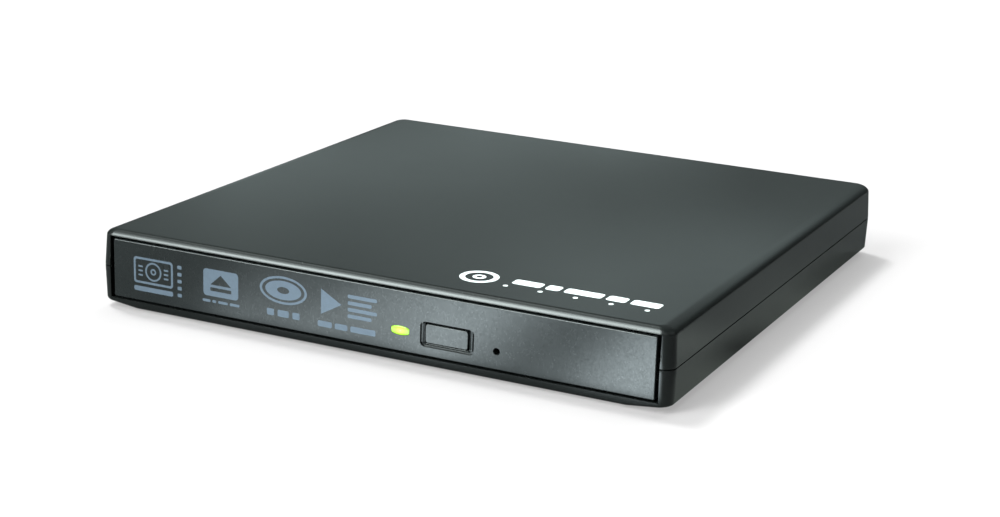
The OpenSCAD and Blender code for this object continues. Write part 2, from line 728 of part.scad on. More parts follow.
module sled_motor() color("#aab0b2") pickup() difference() {
    union() {
        bar_x([5, lead_y, lead_z], 2.8, 13.8);
        bar_x([18.7, lead_y, lead_z], 1.8, 0.6);
        box(7, 12, 20.5, 22.3, 5.6, 8.2);
    }
    bar_x([16.4, lead_y, lead_z], lead_r + run_gap, 5);
}

module trim_plate() color("#3b3f41") difference() {
    path_area(0.25, 10.2, 10.8);
    pickup() {
        post([0, 0, 9], table_r + 0.9, 4);
        box(0, 63.6, -8.4, 8.4, 9, 12);
        for (x = [24, 56], y = [18.5, -10.9]) post([x, y, 9], 0.9, 4);
    }
}

module latch_solenoid() color("#6f7577") drive() difference() {
    union() {
        x0 = solenoid_x - 3.9;
        x1 = solenoid_x + 3.9;
        boxes([
            [x0, x1, 18, 18.9, 4.2, 9],
            [x0, x1, 30.1, 31, 4.2, 9],
            [x0, x1, 18, 31, 4.2, 4.8]]);
        bar_y([solenoid_x, 18.8, solenoid_z], 2.1, 11.4);
    }
    bar_y([solenoid_x, 17, solenoid_z], 1.25, 12.5);
}

module latch_spring() color("#c9cccd") drive() translate([hook_x, hook_y, 7.15]) {
    coil(coil_r = 1.45, wire_d = 0.35, turns = 4, height = 1.5);
    box(1.35, 1.7, -5, 0.2, 1.05, 1.4);
    box(-1.7, -1.35, -0.2, 4.5, 0.2, 0.5);
}

// ---- Moving pieces on the tray ----
module eject_button() color("#33373a") drive() {
    x1 = button_x0 + button_w;
    z1 = button_z0 + button_h;
    plate_y1 = bezel_y0 + bezel_t;
    hull() {
        box(button_x0 + 0.15, x1 - 0.15, bezel_y0 + 0.1, bezel_y0 + 0.2,
            button_z0 + 0.15, z1 - 0.15);
        box(button_x0, x1, bezel_y0 + 0.25, 2.65, button_z0, z1);
    }
    // flange behind the bezel plate, then the stem to the switch
    box(button_x0 - 0.7, x1 + 0.7, plate_y1 + 0.05, plate_y1 + 0.6, button_z0 - 0.6, z1 + 0.5);
    box(switch_x - 1, switch_x + 1, 3, 5.6, switch_z - 0.7, switch_z + 0.7);
}

module switch_plunger() color("#b9bcbe") drive() bar_y([switch_x, 5.62, switch_z], 1.02, 1.3);

module spindle_hub() color("#2b2d30") pickup() difference() {
    union() {
        // rotor cup, neck, turntable, centring hub
        ring(12.3, 11.78, 5.7, 9.5);
        post([0, 0, 8.9], 12.3, 0.7);
        post([0, 0, 9.5], 6.5, 1);
        post([0, 0, 9.85], table_r, table_z - 9.85);
        post([0, 0, table_z - 0.1], hub_r, 2.2);
        translate([0, 0, table_z + 2.1]) cylinder(r1 = hub_r, r2 = hub_r - 0.9, h = 0.9);
    }
    post([0, 0, 8], 1.01, 5.6);
    around(3) box(3.6, 9, -1.5, 1.5, table_z + 0.3, table_z + 5);
    post([0, 0, table_z + 2.4], 3, 1);
}

module spindle_shaft() color("#dfe2e4") pickup() post([0, 0, 5.3], 1, 8.2);

module rotor_magnet() color("#4d4b49") pickup() ring(11.72, 10.8, 5.75, 8.8);

module hub_claws() color("#d0d3d5") pickup() around(3) {
    box(3.65, 7.5, -1.42, 1.42, table_z + 0.35, table_z + 2.2);
    translate([7.3, 0, table_z + 1.7]) rotate([90, 0, 0]) post([0, 0, -1.42], 0.5, 2.84);
}

module turntable_ring() color("#3f444a") pickup()
    ring(table_r - 0.3, table_r - 3.2, table_z + 0.01, seat_z);

// ---- Pickup ----
module pickup_sled() color("#565b5e") at_lens() difference() {
    boxes([
        [-7, 5, -8.2, 8.2, 5.3, 9.45],
        [-8, 5, -13.5, -8, 5.3, 8.3],
        [-3, 3, 8, 16.9, 5.3, 8.3]]);
    for (y = rod_y) bar_x([-9, y, rod_z], rod_r + run_gap, 20);
    post([0, 0, 8.2], 3.6, 3);
    box(-5.8, 4, -7, -4.6, 4, 6);
    box(-5.8, 4, 4.6, 7, 4, 6);
}

module lens_cover() color("#17191b") at_lens() difference() {
    hull() {
        box(-5.9, 5.9, -7.4, 7.4, 9.5, 10.3);
        box(-5.3, 5.3, -6.8, 6.8, 9.5, 10.9);
    }
    post([0, 0, 9], 3.5, 4);
}

module lead_nut() color("#d8d8d2") at_lens() difference() {
    box(-2.6, 2.6, 16.95, 21.2, 5.45, 8.6);
    bar_x([-4, lead_y, lead_z], lead_r + run_gap, 8);
}

module objective_lens() color("#8fb6c9") at_lens() translate([0, 0, 9.9])
    rotate_extrude() intersection() {
        translate([0, -3.2]) circle(r = 4.2);
        square([2.1, 1]);
    }

module lens_holder() color("#101214") at_lens() difference() {
    post([0, 0, 9.2], 3.1, 1.5);
    post([0, 0, 9.88], 2.14, 2);
    post([0, 0, 9], 1.6, 2);
}

module lead_screw() color("#ccd0d2") pickup() bar_x([16.6, lead_y, lead_z], lead_r, 47.6);

// Hook outlines as latched, about the pivot; columns: x, y
hook_arm = [
    [0.6, -1.9], [-3.6, -1.6], [-5.6, -2.2], [-6.4, -1.2], [-5.9, 1.6], [-6.5, 2.6],
    [-6.5, 3.4], [-9.1, 3.4], [-7.6, 5.4], [-5.2, 5.4], [-3, 3], [0, 2]];
hook_tail = [[0, -1.6], [5.4, -0.9], [5.4, 0.9], [0, 1.6]];
// The hook is turned to its released place
module latch_hook() color("#c5c8c6") drive()
    translate([hook_x, hook_y, 0]) rotate([0, 0, -hook_deg]) difference() {
        translate([0, 0, 5.4]) {
            cylinder(r = 2, h = 1.5);
            linear_extrude(1.5) polygon(hook_arm);
            linear_extrude(1.5) polygon(hook_tail);
        }
        post([0, 0, 5], 1.05, 3);
    }

module solenoid_plunger() color("#d9dcde") drive()
    bar_y([solenoid_x, hook_y + 0.1, solenoid_z], 1.2, 13);

top_shell();
bottom_shell();
rubber_feet();
case_screws();
bridge_board();
bridge_chips();
usb_socket_shell();
usb_socket_insert();
dc_jack_body();
dc_jack_pin();
sata_socket();
drive_chassis();
drive_cover();
cover_screws();
left_rail_guide();
right_rail_guide();
main_board();
main_board_chips();
flex_cable();
sata_plug();
latch_pin();
ejector_housing();
ejector_plunger();
ejector_spring();
left_rail();
right_rail();
disc_tray();
front_bezel();
led_lens();
activity_led();
switch_board();
eject_switch();
traverse_frame();
traverse_bushes();
traverse_screws();
spindle_stator();
stator_coils();
spindle_bearing();
guide_rods();
sled_motor();
trim_plate();
latch_solenoid();
latch_spring();
eject_button();
switch_plunger();
spindle_hub();
spindle_shaft();
rotor_magnet();
hub_claws();
turntable_ring();
pickup_sled();
lens_cover();
lead_nut();
objective_lens();
lens_holder();
lead_screw();
latch_hook();
solenoid_plunger();
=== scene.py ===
"""A slim external disc drive: visual shells, printed marks, springs, materials and studio.

The drive lies flat on the floor at z = 0, centred on x and y. The tray front faces -y, the
rear sockets +y, and +x is to the right. Shape sizes are in millimetres, and MM turns them
into metres. Node, light and camera values are in metres unless their names say otherwise.
"""
import bpy, bmesh, json, math
from functools import cached_property
from mathutils import Matrix, Vector


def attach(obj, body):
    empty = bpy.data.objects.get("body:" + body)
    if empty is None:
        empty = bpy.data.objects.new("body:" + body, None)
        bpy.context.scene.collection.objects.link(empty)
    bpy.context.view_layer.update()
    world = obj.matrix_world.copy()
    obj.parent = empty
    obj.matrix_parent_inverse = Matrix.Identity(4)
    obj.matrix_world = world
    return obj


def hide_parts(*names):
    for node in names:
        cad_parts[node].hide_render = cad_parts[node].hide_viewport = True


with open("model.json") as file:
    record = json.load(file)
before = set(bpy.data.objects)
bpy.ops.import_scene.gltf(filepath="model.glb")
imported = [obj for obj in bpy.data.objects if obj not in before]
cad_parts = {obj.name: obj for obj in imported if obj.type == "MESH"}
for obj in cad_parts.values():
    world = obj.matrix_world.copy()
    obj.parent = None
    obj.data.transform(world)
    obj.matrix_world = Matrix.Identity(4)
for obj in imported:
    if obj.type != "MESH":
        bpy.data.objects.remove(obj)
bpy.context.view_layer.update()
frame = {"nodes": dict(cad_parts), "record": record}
nodes = frame["nodes"]
record = frame["record"]
MM = 0.001

# Case
CASE_HALF_X, CASE_HALF_Y = 68.5, 68.0
CASE_TOP_Z = 18.0
SEAM_Z = 9.52
SEAM_GAP = 0.18
BASE_Z = 0.9                # height the recesses in the underside are set out from
UNDERSIDE_Z = 0.65
CORNER_RADIUS = 2.75
TOP_ROUND = 1.7             # rounding of the top edge
TOP_ROUND_X = 3.1           # the same rounding runs further in along the two sides
BOTTOM_ROUND = 0.55
TOP_DRAFT, BOTTOM_DRAFT = 0.35, 0.21
LIP_INSET = 0.02
# Lip beside the seam: inset, distance from the seam face, corner radius taken off
SEAM_LIP = [(0.16, 0.0, 0.14), (0.055, 0.035, 0.035), (LIP_INSET, 0.14, 0.0)]
DRAFT_STEPS = 5
CASE_CORNER_STEPS = 16

# Hollow of the case
INNER_X = 66.7
INNER_FRONT_Y, INNER_BACK_Y = -64.1, 66.2
CEILING_Z, CASE_FLOOR_Z = 16.5, 2.4
SCREW_X, SCREW_Y = 57, 63

# Bezel
FACE_Y = -67.7
BEZEL_RECT = (-65.0, 65.0, 2.77, 16.05)     # x0, x1, z0, z1
BEZEL_RADIUS = 0.32
BUTTON_X, BUTTON_WIDTH = 13.65, 9.85
BUTTON_Z, BUTTON_HEIGHT = 5.72, 4.05
BUTTON_RECT = (BUTTON_X, BUTTON_X + BUTTON_WIDTH, BUTTON_Z, BUTTON_Z + BUTTON_HEIGHT)
PIN_HOLE = (30.15, 6.72)                    # x, z
LED_X, LED_Z = 7.75, 7.38


# ------------------------------------------------------------------ mesh building
def add_object(name, mesh):
    obj = bpy.data.objects.new(name, mesh)
    bpy.context.scene.collection.objects.link(obj)
    return obj


def object_from_bmesh(name, bm):
    mesh = bpy.data.meshes.new(name)
    bm.to_mesh(mesh)
    bm.free()
    return add_object(name, mesh)


def make(name, points, faces):
    mesh = bpy.data.meshes.new(name)
    mesh.from_pydata([tuple(c * MM for c in point) for point in points], [], faces)
    mesh.update()
    return add_object(name, mesh)


def fix_normals(obj):
    bm = bmesh.new()
    bm.from_mesh(obj.data)
    bmesh.ops.remove_doubles(bm, verts=bm.verts, dist=1e-7)
    bmesh.ops.recalc_face_normals(bm, faces=bm.faces)
    bm.to_mesh(obj.data)
    bm.free()
    return obj


def wall_faces(ring_count, size):
    """Quads between neighbouring rings of size points each."""
    faces = []
    for i in range(ring_count - 1):
        for k in range(size):
            a, b = i * size + k, i * size + (k + 1) % size
            faces.append((a, b, b + size, a + size))
    return faces


def loft(name, rings):
    """A closed skin over rings of equal size, capped at both ends."""
    size = len(rings[0])
    points = [point for ring in rings for point in ring]
    faces = wall_faces(len(rings), size)
    faces.append(tuple(reversed(range(size))))
    faces.append(tuple(range((len(rings) - 1) * size, len(rings) * size)))
    return fix_normals(make(name, points, faces))


def at_height(outline, z):
    return [(x, y, z) for x, y in outline]


def z_loft(sections):
    """Sections are outlines in x and y at a height z."""
    return loft("part", [at_height(outline, z) for outline, z in sections])


def y_loft(sections, name="part"):
    """Sections are outlines in x and z at a depth y."""
    return loft(name, [[(x, y, z) for x, z in outline] for outline, y in sections])


def y_prism(outline, y0, y1):
    return y_loft([(outline, y0), (outline, y1)])


def box(x0, x1, y0, y1, z0, z1):
    outline = [(x0, y0), (x1, y0), (x1, y1), (x0, y1)]
    return z_loft([(outline, z0), (outline, z1)])


def side_box(side, near, far, *y_and_z):
    """A box between two distances from the middle, on side -1 or 1."""
    return box(*sorted((side * near, side * far)), *y_and_z)


def rounded_rect(x0, x1, y0, y1, radius, steps=10):
    points = []
    corners = ((x1 - radius, y1 - radius), (x0 + radius, y1 - radius),
               (x0 + radius, y0 + radius), (x1 - radius, y0 + radius))
    for corner, (cx, cy) in enumerate(corners):
        for k in range(steps + 1):
            a = math.radians(90 * corner + 90.0 * k / steps)
            points.append((cx + radius * math.cos(a), cy + radius * math.sin(a)))
    return points


def inset(rect, distance):
    x0, x1, y0, y1 = rect
    return x0 + distance, x1 - distance, y0 + distance, y1 - distance


def ellipse(cx, cy, rx, ry, count):
    angles = [2 * math.pi * k / count for k in range(count)]
    return [(cx + rx * math.cos(a), cy + ry * math.sin(a)) for a in angles]


def circle(cx, cy, radius, count=48):
    return ellipse(cx, cy, radius, radius, count)


def cylinder(x, y, radius, z0, z1, count=48):
    outline = circle(x, y, radius, count)
    return z_loft([(outline, z0), (outline, z1)])


def boolean(obj, others, operation="DIFFERENCE"):
    for other in others:
        modifier = obj.modifiers.new("b", "BOOLEAN")
        modifier.operation = operation
        modifier.solver = "EXACT"
        modifier.object = other
    bpy.context.view_layer.update()
    depsgraph = bpy.context.evaluated_depsgraph_get()
    mesh = bpy.data.meshes.new_from_object(obj.evaluated_get(depsgraph))
    obj.modifiers.clear()
    obj.data = mesh
    for other in others:
        bpy.data.objects.remove(other)
    return obj


def join(name, objects):
    bm = bmesh.new()
    for obj in objects:
        bm.from_mesh(obj.data)
    joined = object_from_bmesh(name, bm)
    for obj in objects:
        bpy.data.objects.remove(obj)
    return joined


def shade_smooth(obj, sharp_angle):
    """Smooth shading with the edges above an angle in degrees kept sharp."""
    bm = bmesh.new()
    bm.from_mesh(obj.data)
    for face in bm.faces:
        face.smooth = True
    limit = math.radians(sharp_angle)
    for edge in bm.edges:
        edge.smooth = edge.is_manifold and edge.calc_face_angle(math.pi) < limit
    bm.to_mesh(obj.data)
    bm.free()


def dress(obj, bevel_width=0.0, bevel_angle=35, weld=False):
    """Rounds the crisp edges and keeps the flats flat."""
    if weld:
        modifier = obj.modifiers.new("weld", "WELD")
        modifier.merge_threshold = 2e-6
    if bevel_width:
        bevel = obj.modifiers.new("bevel", "BEVEL")
        bevel.width = bevel_width * MM
        bevel.segments = 2
        bevel.limit_method = "ANGLE"
        bevel.angle_limit = math.radians(bevel_angle)
        bevel.use_clamp_overlap = True
        bevel.harden_normals = False
        bevel.miter_outer = "MITER_ARC"
    normals = obj.modifiers.new("normals", "WEIGHTED_NORMAL")
    normals.keep_sharp = True
    normals.weight = 60
    normals.mode = "FACE_AREA"


# ------------------------------------------------------------------ shader building
NOISE_SPAN = (0.3, 0.7)     # the part of a noise's range that carries most of its values


def shade(colour, factor, lift=0.0):
    return tuple(min(1, c * factor + lift) for c in colour)


def is_socket(value):
    return isinstance(value, bpy.types.NodeSocket)


class Nodes:
    """Short ways to build the node tree of a material or a world."""

    def __init__(self, owner, output_kind):
        owner.use_nodes = True
        self.owner = owner
        self.tree = owner.node_tree
        self.tree.nodes.clear()
        self.output = self.node(output_kind)

    @cached_property
    def coords(self):
        return self.node("ShaderNodeTexCoord").outputs["Object"]

    def feed(self, socket, value):
        if is_socket(value):
            self.tree.links.new(value, socket)
        else:
            socket.default_value = value

    def node(self, kind, inputs=None, **properties):
        node = self.tree.nodes.new(kind)
        for key, value in properties.items():
            setattr(node, key, value)
        for key, value in (inputs or {}).items():
            self.feed(node.inputs[key], value)
        return node

    def show(self, shader):
        self.feed(self.output.inputs["Surface"], shader)

    def mapping(self, **inputs):
        return self.node("ShaderNodeMapping", {"Vector": self.coords, **inputs}).outputs[0]

    def noise(self, scale, detail=3.0, roughness=0.55, stretch=None):
        vector = self.mapping(Scale=stretch) if stretch else self.coords
        return self.node("ShaderNodeTexNoise", {
            "Scale": scale, "Detail": detail, "Roughness": roughness,
            "Vector": vector}).outputs["Fac"]

    def voronoi(self, scale):
        return self.node("ShaderNodeTexVoronoi", {"Scale": scale, "Vector": self.coords})

    def remap(self, value, span=NOISE_SPAN, to=(0.0, 1.0), **properties):
        return self.node("ShaderNodeMapRange", {
            "Value": value, "From Min": span[0], "From Max": span[1],
            "To Min": to[0], "To Max": to[1]}, **properties).outputs["Result"]

    def math(self, operation, a, b=0.0, clamp=False):
        return self.node("ShaderNodeMath", {0: a, 1: b}, operation=operation,
                         use_clamp=clamp).outputs[0]

    def vector_math(self, operation, inputs, output=0):
        return self.node("ShaderNodeVectorMath", inputs, operation=operation).outputs[output]

    def mix(self, factor, a, b):
        a, b = (c if is_socket(c) else (*c, 1) for c in (a, b))
        return self.node("ShaderNodeMix", {"Factor": factor, 6: a, 7: b},
                         data_type="RGBA").outputs[2]

    def colour_ramp(self, factor, stops):
        """Stops are (position, colour) from 0 to 1."""
        ramp = self.node("ShaderNodeValToRGB", {0: factor})
        elements = ramp.color_ramp.elements
        for position, _ in stops[1:-1]:
            elements.new(position)
        for element, (_, colour) in zip(elements, stops):
            element.color = (*colour, 1)
        return ramp.outputs["Color"]

    def bump(self, height, distance, normal=None):
        inputs = {"Distance": distance, "Height": height}
        if normal is not None:
            inputs["Normal"] = normal
        return self.node("ShaderNodeBump", inputs).outputs[0]

    def edge_mask(self, radius):
        """1 along convex and concave edges, 0 on flats."""
        bevelled = self.node("ShaderNodeBevel", {"Radius": radius}, samples=3).outputs[0]
        normal = self.node("ShaderNodeNewGeometry").outputs["Normal"]
        agreement = self.vector_math("DOT_PRODUCT", {0: bevelled, 1: normal}, "Value")
        return self.remap(self.math("SUBTRACT", 1.0, agreement), span=(0.02, 0.25))

    def position(self):
        where = self.node("ShaderNodeNewGeometry").outputs["Position"]
        return self.node("ShaderNodeSeparateXYZ", {0: where}).outputs

    def shader(self, kind, **inputs):
        return self.node(kind, inputs).outputs[0]

    def add_shader(self, a, b):
        return self.node("ShaderNodeAddShader", {0: a, 1: b}).outputs[0]

    def mix_shader(self, factor, a, b):
        return self.node("ShaderNodeMixShader", {0: factor, 1: a, 2: b}).outputs[0]


class Surface(Nodes):
    """A material made of one Principled shader."""

    def __init__(self, name):
        super().__init__(bpy.data.materials.new(name), "ShaderNodeOutputMaterial")
        self.principled = self.node("ShaderNodeBsdfPrincipled")
        self.show(self.principled.outputs[0])

    def set(self, name, value):
        self.feed(self.principled.inputs[name], value)


# ------------------------------------------------------------------ materials
def plastic(name, base, roughness, grain=0.00001, grain_scale=3200.0, specular=0.5,
            variation=0.12, wear=0.25, smudge=0.05, wave=0.0, fleck=0.0):
    """Moulded plastic: fine grain, faint colour drift, dulled patches, paler worn edges.

    grain and wave are bump depths; fleck is how far the specular level varies.
    """
    s = Surface(name)
    patches = s.noise(scale=22.0, roughness=0.5)
    drift = s.noise(scale=180.0, detail=4.0, roughness=0.6)
    colour = s.mix(s.remap(drift), shade(base, 1 - variation), shade(base, 1 + variation))
    if wear:
        edges = s.edge_mask(radius=0.00022)
        broken = s.remap(s.noise(scale=420.0, detail=4.0), span=(0.35, 0.75), to=(0.25, 1.0))
        rubbed = s.math("MULTIPLY", edges, broken)
        colour = s.mix(s.math("MULTIPLY", rubbed, wear), colour,
                       shade(base, factor=2.6, lift=0.02))
    s.set("Base Color", colour)
    s.set("Roughness", s.math(
        "ADD", s.remap(patches, to=(roughness - smudge, roughness + smudge)),
        s.remap(drift, to=(-0.006, 0.006)), clamp=True))
    if fleck:
        flecks = s.noise(scale=grain_scale * 0.85, detail=2.0, roughness=0.7,
                         stretch=(1.0, 1.0, 0.7))
        specular = s.remap(flecks, to=(specular * (1 - fleck), specular * (1 + fleck)))
    s.set("Specular IOR Level", specular)
    s.set("Coat Roughness", 0.25)
    s.set("Sheen Roughness", 0.4)
    normal = None
    if wave:
        normal = s.bump(s.noise(scale=9.0, detail=1.0, roughness=0.4), distance=wave)
    fine = s.noise(scale=grain_scale, detail=2.0, roughness=0.6)
    s.set("Normal", s.bump(fine, distance=grain, normal=normal))
    return s.owner


def metal(name, base, roughness, brush=None, spangle=0.0, wear=0.3, grain=0.000002,
          grain_scale=5000.0, metallic=1.0):
    """Metal with uneven sheen; brush stretches the grain, spangle adds crystal patches."""
    s = Surface(name)
    drift = s.noise(scale=260.0, detail=4.0, roughness=0.6)
    colour = s.mix(s.remap(drift), shade(base, 0.86), shade(base, 1.1))
    rough = s.remap(drift, span=(0.25, 0.75), to=(roughness - 0.06, roughness + 0.08))
    if spangle:
        cells = s.voronoi(scale=260.0).outputs["Color"]
        random = s.node("ShaderNodeSeparateColor", {0: cells}).outputs
        colour = s.mix(s.math("MULTIPLY", random[0], spangle), colour, shade(base, 1.35))
        rough = s.math("ADD", rough, s.remap(random[1], span=(0, 1), to=(-0.05, 0.06)))
    if wear:
        edges = s.edge_mask(radius=0.00015)
        colour = s.mix(s.math("MULTIPLY", edges, wear), colour,
                       shade(base, factor=1.5, lift=0.05))
    s.set("Base Color", colour)
    s.set("Roughness", rough)
    s.set("Metallic", metallic)
    fine = s.noise(scale=grain_scale, detail=2.0, roughness=0.6, stretch=brush)
    s.set("Normal", s.bump(fine, distance=grain))
    return s.owner


def circuit_board(name, base):
    """Solder mask over diagonal copper tracks, with scattered bare pads."""
    s = Surface(name)
    bricks = s.node("ShaderNodeTexBrick", {
        "Scale": 620.0, "Mortar Size": 0.06, "Brick Width": 2.6, "Row Height": 0.32,
        "Vector": s.mapping(Rotation=(0, 0, math.radians(45)))}).outputs["Fac"]
    track_areas = s.remap(s.noise(scale=90.0, detail=1.0), span=(0.45, 0.5))
    tracks = s.math("MULTIPLY", bricks, track_areas)
    dots = s.remap(s.voronoi(scale=330.0).outputs["Distance"], span=(0.10, 0.14), to=(1.0, 0.0))
    pad_areas = s.remap(s.noise(scale=60.0, detail=1.0), span=(0.52, 0.55))
    pads = s.math("MULTIPLY", dots, pad_areas)
    colour = s.mix(tracks, base, shade(base, 1.7))
    s.set("Base Color", s.mix(pads, colour, (0.62, 0.60, 0.52)))
    s.set("Roughness", s.remap(s.noise(scale=300.0), to=(0.28, 0.42)))
    s.set("Metallic", s.math("MULTIPLY", pads, 0.9))
    s.set("Normal", s.bump(s.math("ADD", tracks, pads), distance=0.00003))
    return s.owner


def flat_cable(name):
    """Copper stripes along a pale ribbon."""
    s = Surface(name)
    wave = s.node("ShaderNodeTexWave", {"Scale": 320.0, "Vector": s.coords},
                  wave_type="BANDS", bands_direction="X").outputs["Fac"]
    stripes = s.remap(wave, span=(0.35, 0.6))
    s.set("Base Color", s.mix(stripes, (0.70, 0.66, 0.52), (0.55, 0.38, 0.18)))
    s.set("Roughness", s.remap(s.noise(scale=400.0), to=(0.18, 0.32)))
    s.set("Coat Weight", 0.6)
    s.set("Normal", s.bump(stripes, distance=0.00001))
    return s.owner


def lens_glass(name):
    """Half-clear glass with a blue to violet coating."""
    s = Surface(name)
    tint = s.remap(s.noise(scale=500.0))
    s.set("Base Color", s.mix(tint, (0.30, 0.55, 0.80), (0.45, 0.35, 0.85)))
    s.set("Roughness", s.remap(s.noise(scale=900.0), to=(0.02, 0.07)))
    s.set("Transmission Weight", 0.55)
    s.set("Coat Weight", 1.0)
    s.set("Coat Tint", (0.5, 0.65, 1.0, 1))
    s.set("Normal", s.bump(s.noise(scale=2500.0), distance=0.0000004))
    return s.owner


# Glow seen through the light's lens: half sizes in mm, and colours from the middle outwards
GLOW_SHIFT_X = 0.1
GLOW_HALF_X, GLOW_HALF_Z = 1.55, 1.0
GLOW_FALLOFF = 0.62
GLOW_STOPS = [(0.0, (1.0, 1.0, 0.36)), (0.13, (0.72, 0.94, 0.06)), (0.38, (0.40, 0.74, 0.006)),
              (0.78, (0.24, 0.52, 0.0)), (1.0, (0.10, 0.26, 0.0))]


def led_plastic(name):
    """Tinted lens lit from behind: pale and hot in the middle, green at the rim."""
    s = Surface(name)
    place = s.node("ShaderNodeSeparateXYZ", {0: s.coords}).outputs

    def offset(coord, centre, half):
        return s.math("DIVIDE", s.math("SUBTRACT", coord, centre * MM), half * MM)

    dx = offset(place[0], LED_X + GLOW_SHIFT_X, GLOW_HALF_X)
    dz = offset(place[2], LED_Z, GLOW_HALF_Z)
    distance = s.math("SQRT", s.math(
        "ADD", s.math("MULTIPLY", dx, dx), s.math("MULTIPLY", dz, dz)))
    glow = s.colour_ramp(s.math("MULTIPLY", distance, GLOW_FALLOFF), GLOW_STOPS)
    s.set("Emission Color", glow)
    s.set("Emission Strength", 1.15)
    tint = s.remap(s.noise(scale=700.0))
    s.set("Base Color", s.mix(tint, (0.20, 0.34, 0.04), (0.26, 0.42, 0.06)))
    s.set("Roughness", s.remap(s.noise(scale=1500.0), to=(0.16, 0.26)))
    s.set("Normal", s.bump(s.noise(scale=2600.0), distance=0.000004))
    return s.owner


def ink(name, base, roughness, patch=0.10):
    """Screen-printed ink, slightly uneven."""
    s = Surface(name)
    cover = s.remap(s.noise(scale=1500.0, detail=4.0, roughness=0.7))
    s.set("Base Color", s.mix(cover, shade(base, 1 - patch), shade(base, 1 + patch * 0.5)))
    s.set("Roughness", s.remap(s.noise(scale=900.0), to=(roughness - 0.05, roughness + 0.06)))
    s.set("Normal", s.bump(s.noise(scale=4200.0), distance=0.000004))
    return s.owner


def led_source(name):
    """The light source itself: a pale, lit package."""
    s = Surface(name)
    tint = s.remap(s.noise(scale=800.0))
    s.set("Base Color", s.mix(tint, (0.55, 0.75, 0.25), (0.7, 0.85, 0.35)))
    s.set("Emission Color", (0.6, 0.95, 0.12, 1))
    s.set("Emission Strength", 0.8)
    s.set("Roughness", 0.2)
    s.set("Normal", s.bump(s.noise(scale=2600.0), distance=0.000004))
    return s.owner


PLASTICS = {
    "case_plastic": dict(
        base=(0.0078, 0.0088, 0.0085), roughness=0.25, grain=0.0000030, grain_scale=4200.0,
        variation=0.05, wear=0.30, smudge=0.012, wave=0.00003, fleck=0.07),
    "bezel_plastic": dict(
        base=(0.0165, 0.0185, 0.0190), roughness=0.27, grain=0.0000050, grain_scale=3400.0,
        variation=0.04, wear=0.12, smudge=0.003, fleck=0.24),
    "tray_plastic": dict(
        base=(0.022, 0.024, 0.026), roughness=0.44, grain=0.000014, grain_scale=2600.0,
        wear=0.35, smudge=0.03),
    "feet_rubber": dict(
        base=(0.018, 0.019, 0.021), roughness=0.78, grain=0.00002, grain_scale=1900.0,
        variation=0.2, wear=0.2, specular=0.3),
    "bush_rubber": dict(
        base=(0.045, 0.050, 0.060), roughness=0.72, grain=0.00002, grain_scale=2100.0,
        variation=0.2, wear=0.15, specular=0.35),
    "chip_black": dict(
        base=(0.020, 0.020, 0.022), roughness=0.55, grain_scale=3600.0, variation=0.1, wear=0.2),
    "connector_black": dict(
        base=(0.016, 0.016, 0.018), roughness=0.42, grain=0.000008, grain_scale=2800.0, wear=0.2),
    "guide_plastic": dict(
        base=(0.62, 0.63, 0.58), roughness=0.38, grain=0.000006, grain_scale=1500.0,
        variation=0.05, wear=0.0),
    "nut_plastic": dict(
        base=(0.66, 0.66, 0.60), roughness=0.36, grain=0.000006, grain_scale=1500.0,
        variation=0.05, wear=0.0),
    "hub_plastic": dict(
        base=(0.030, 0.031, 0.034), roughness=0.24, grain=0.000003, grain_scale=2600.0, wear=0.3),
    "trim_black": dict(
        base=(0.055, 0.058, 0.062), roughness=0.40, grain=0.000009, grain_scale=3100.0,
        variation=0.1, wear=0.5, specular=0.7),
}
METALS = {
    "frame_metal": dict(base=(0.16, 0.17, 0.175), roughness=0.42, wear=0.5, metallic=0.7),
    "sled_metal": dict(base=(0.24, 0.25, 0.26), roughness=0.46, wear=0.4, grain=0.000012,
                       grain_scale=2400.0, metallic=0.85),
    "zinc_sheet": dict(base=(0.50, 0.52, 0.53), roughness=0.34, spangle=0.5),
    "zinc_screw": dict(base=(0.46, 0.47, 0.48), roughness=0.30),
    "black_screw": dict(base=(0.05, 0.05, 0.055), roughness=0.36, wear=0.6),
    "tinned_steel": dict(base=(0.66, 0.67, 0.68), roughness=0.26),
    "bright_steel": dict(base=(0.72, 0.73, 0.74), roughness=0.14, wear=0.0),
    "spring_steel": dict(base=(0.55, 0.56, 0.57), roughness=0.24, wear=0.0),
    "core_steel": dict(base=(0.30, 0.31, 0.32), roughness=0.40, brush=(1, 1, 14),
                       grain=0.00001, grain_scale=900.0),
    "coil_copper": dict(base=(0.66, 0.26, 0.10), roughness=0.28, brush=(1, 1, 10),
                        grain=0.00003, grain_scale=1500.0),
    "bronze": dict(base=(0.50, 0.33, 0.15), roughness=0.38, grain=0.00001, grain_scale=3000.0),
    "contact_brass": dict(base=(0.78, 0.64, 0.36), roughness=0.22),
    "magnet_black": dict(base=(0.075, 0.07, 0.066), roughness=0.55, grain=0.000015,
                         grain_scale=2600.0, metallic=0.4),
}

MATERIALS = {name: plastic(name, **look) for name, look in PLASTICS.items()}
MATERIALS.update({name: metal(name, **look) for name, look in METALS.items()})
MATERIALS["pcb_green"] = circuit_board("pcb_green", base=(0.010, 0.085, 0.045))
MATERIALS["flat_cable"] = flat_cable("flat_cable")
MATERIALS["lens_glass"] = lens_glass("lens_glass")
MATERIALS["led_plastic"] = led_plastic("led_plastic")
TOP_INK = ink("ink_white", base=(0.80, 0.82, 0.82), roughness=0.42)
FRONT_INK = ink("ink_grey_blue", base=(0.130, 0.165, 0.215), roughness=0.50)
LED_SOURCE = led_source("led_source")


def paint(obj, material):
    obj.data.materials.clear()
    obj.data.materials.append(material)
    for polygon in obj.data.polygons:
        polygon.material_index = 0


def register(obj, part, slot, replaces=None, material=None):
    """Paints a piece, hangs it on the empty of the part it moves with, and hides any CAD part it
    replaces.
    """
    paint(obj, material or MATERIALS[slot])
    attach(obj, part)
    if replaces:
        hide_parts(replaces)


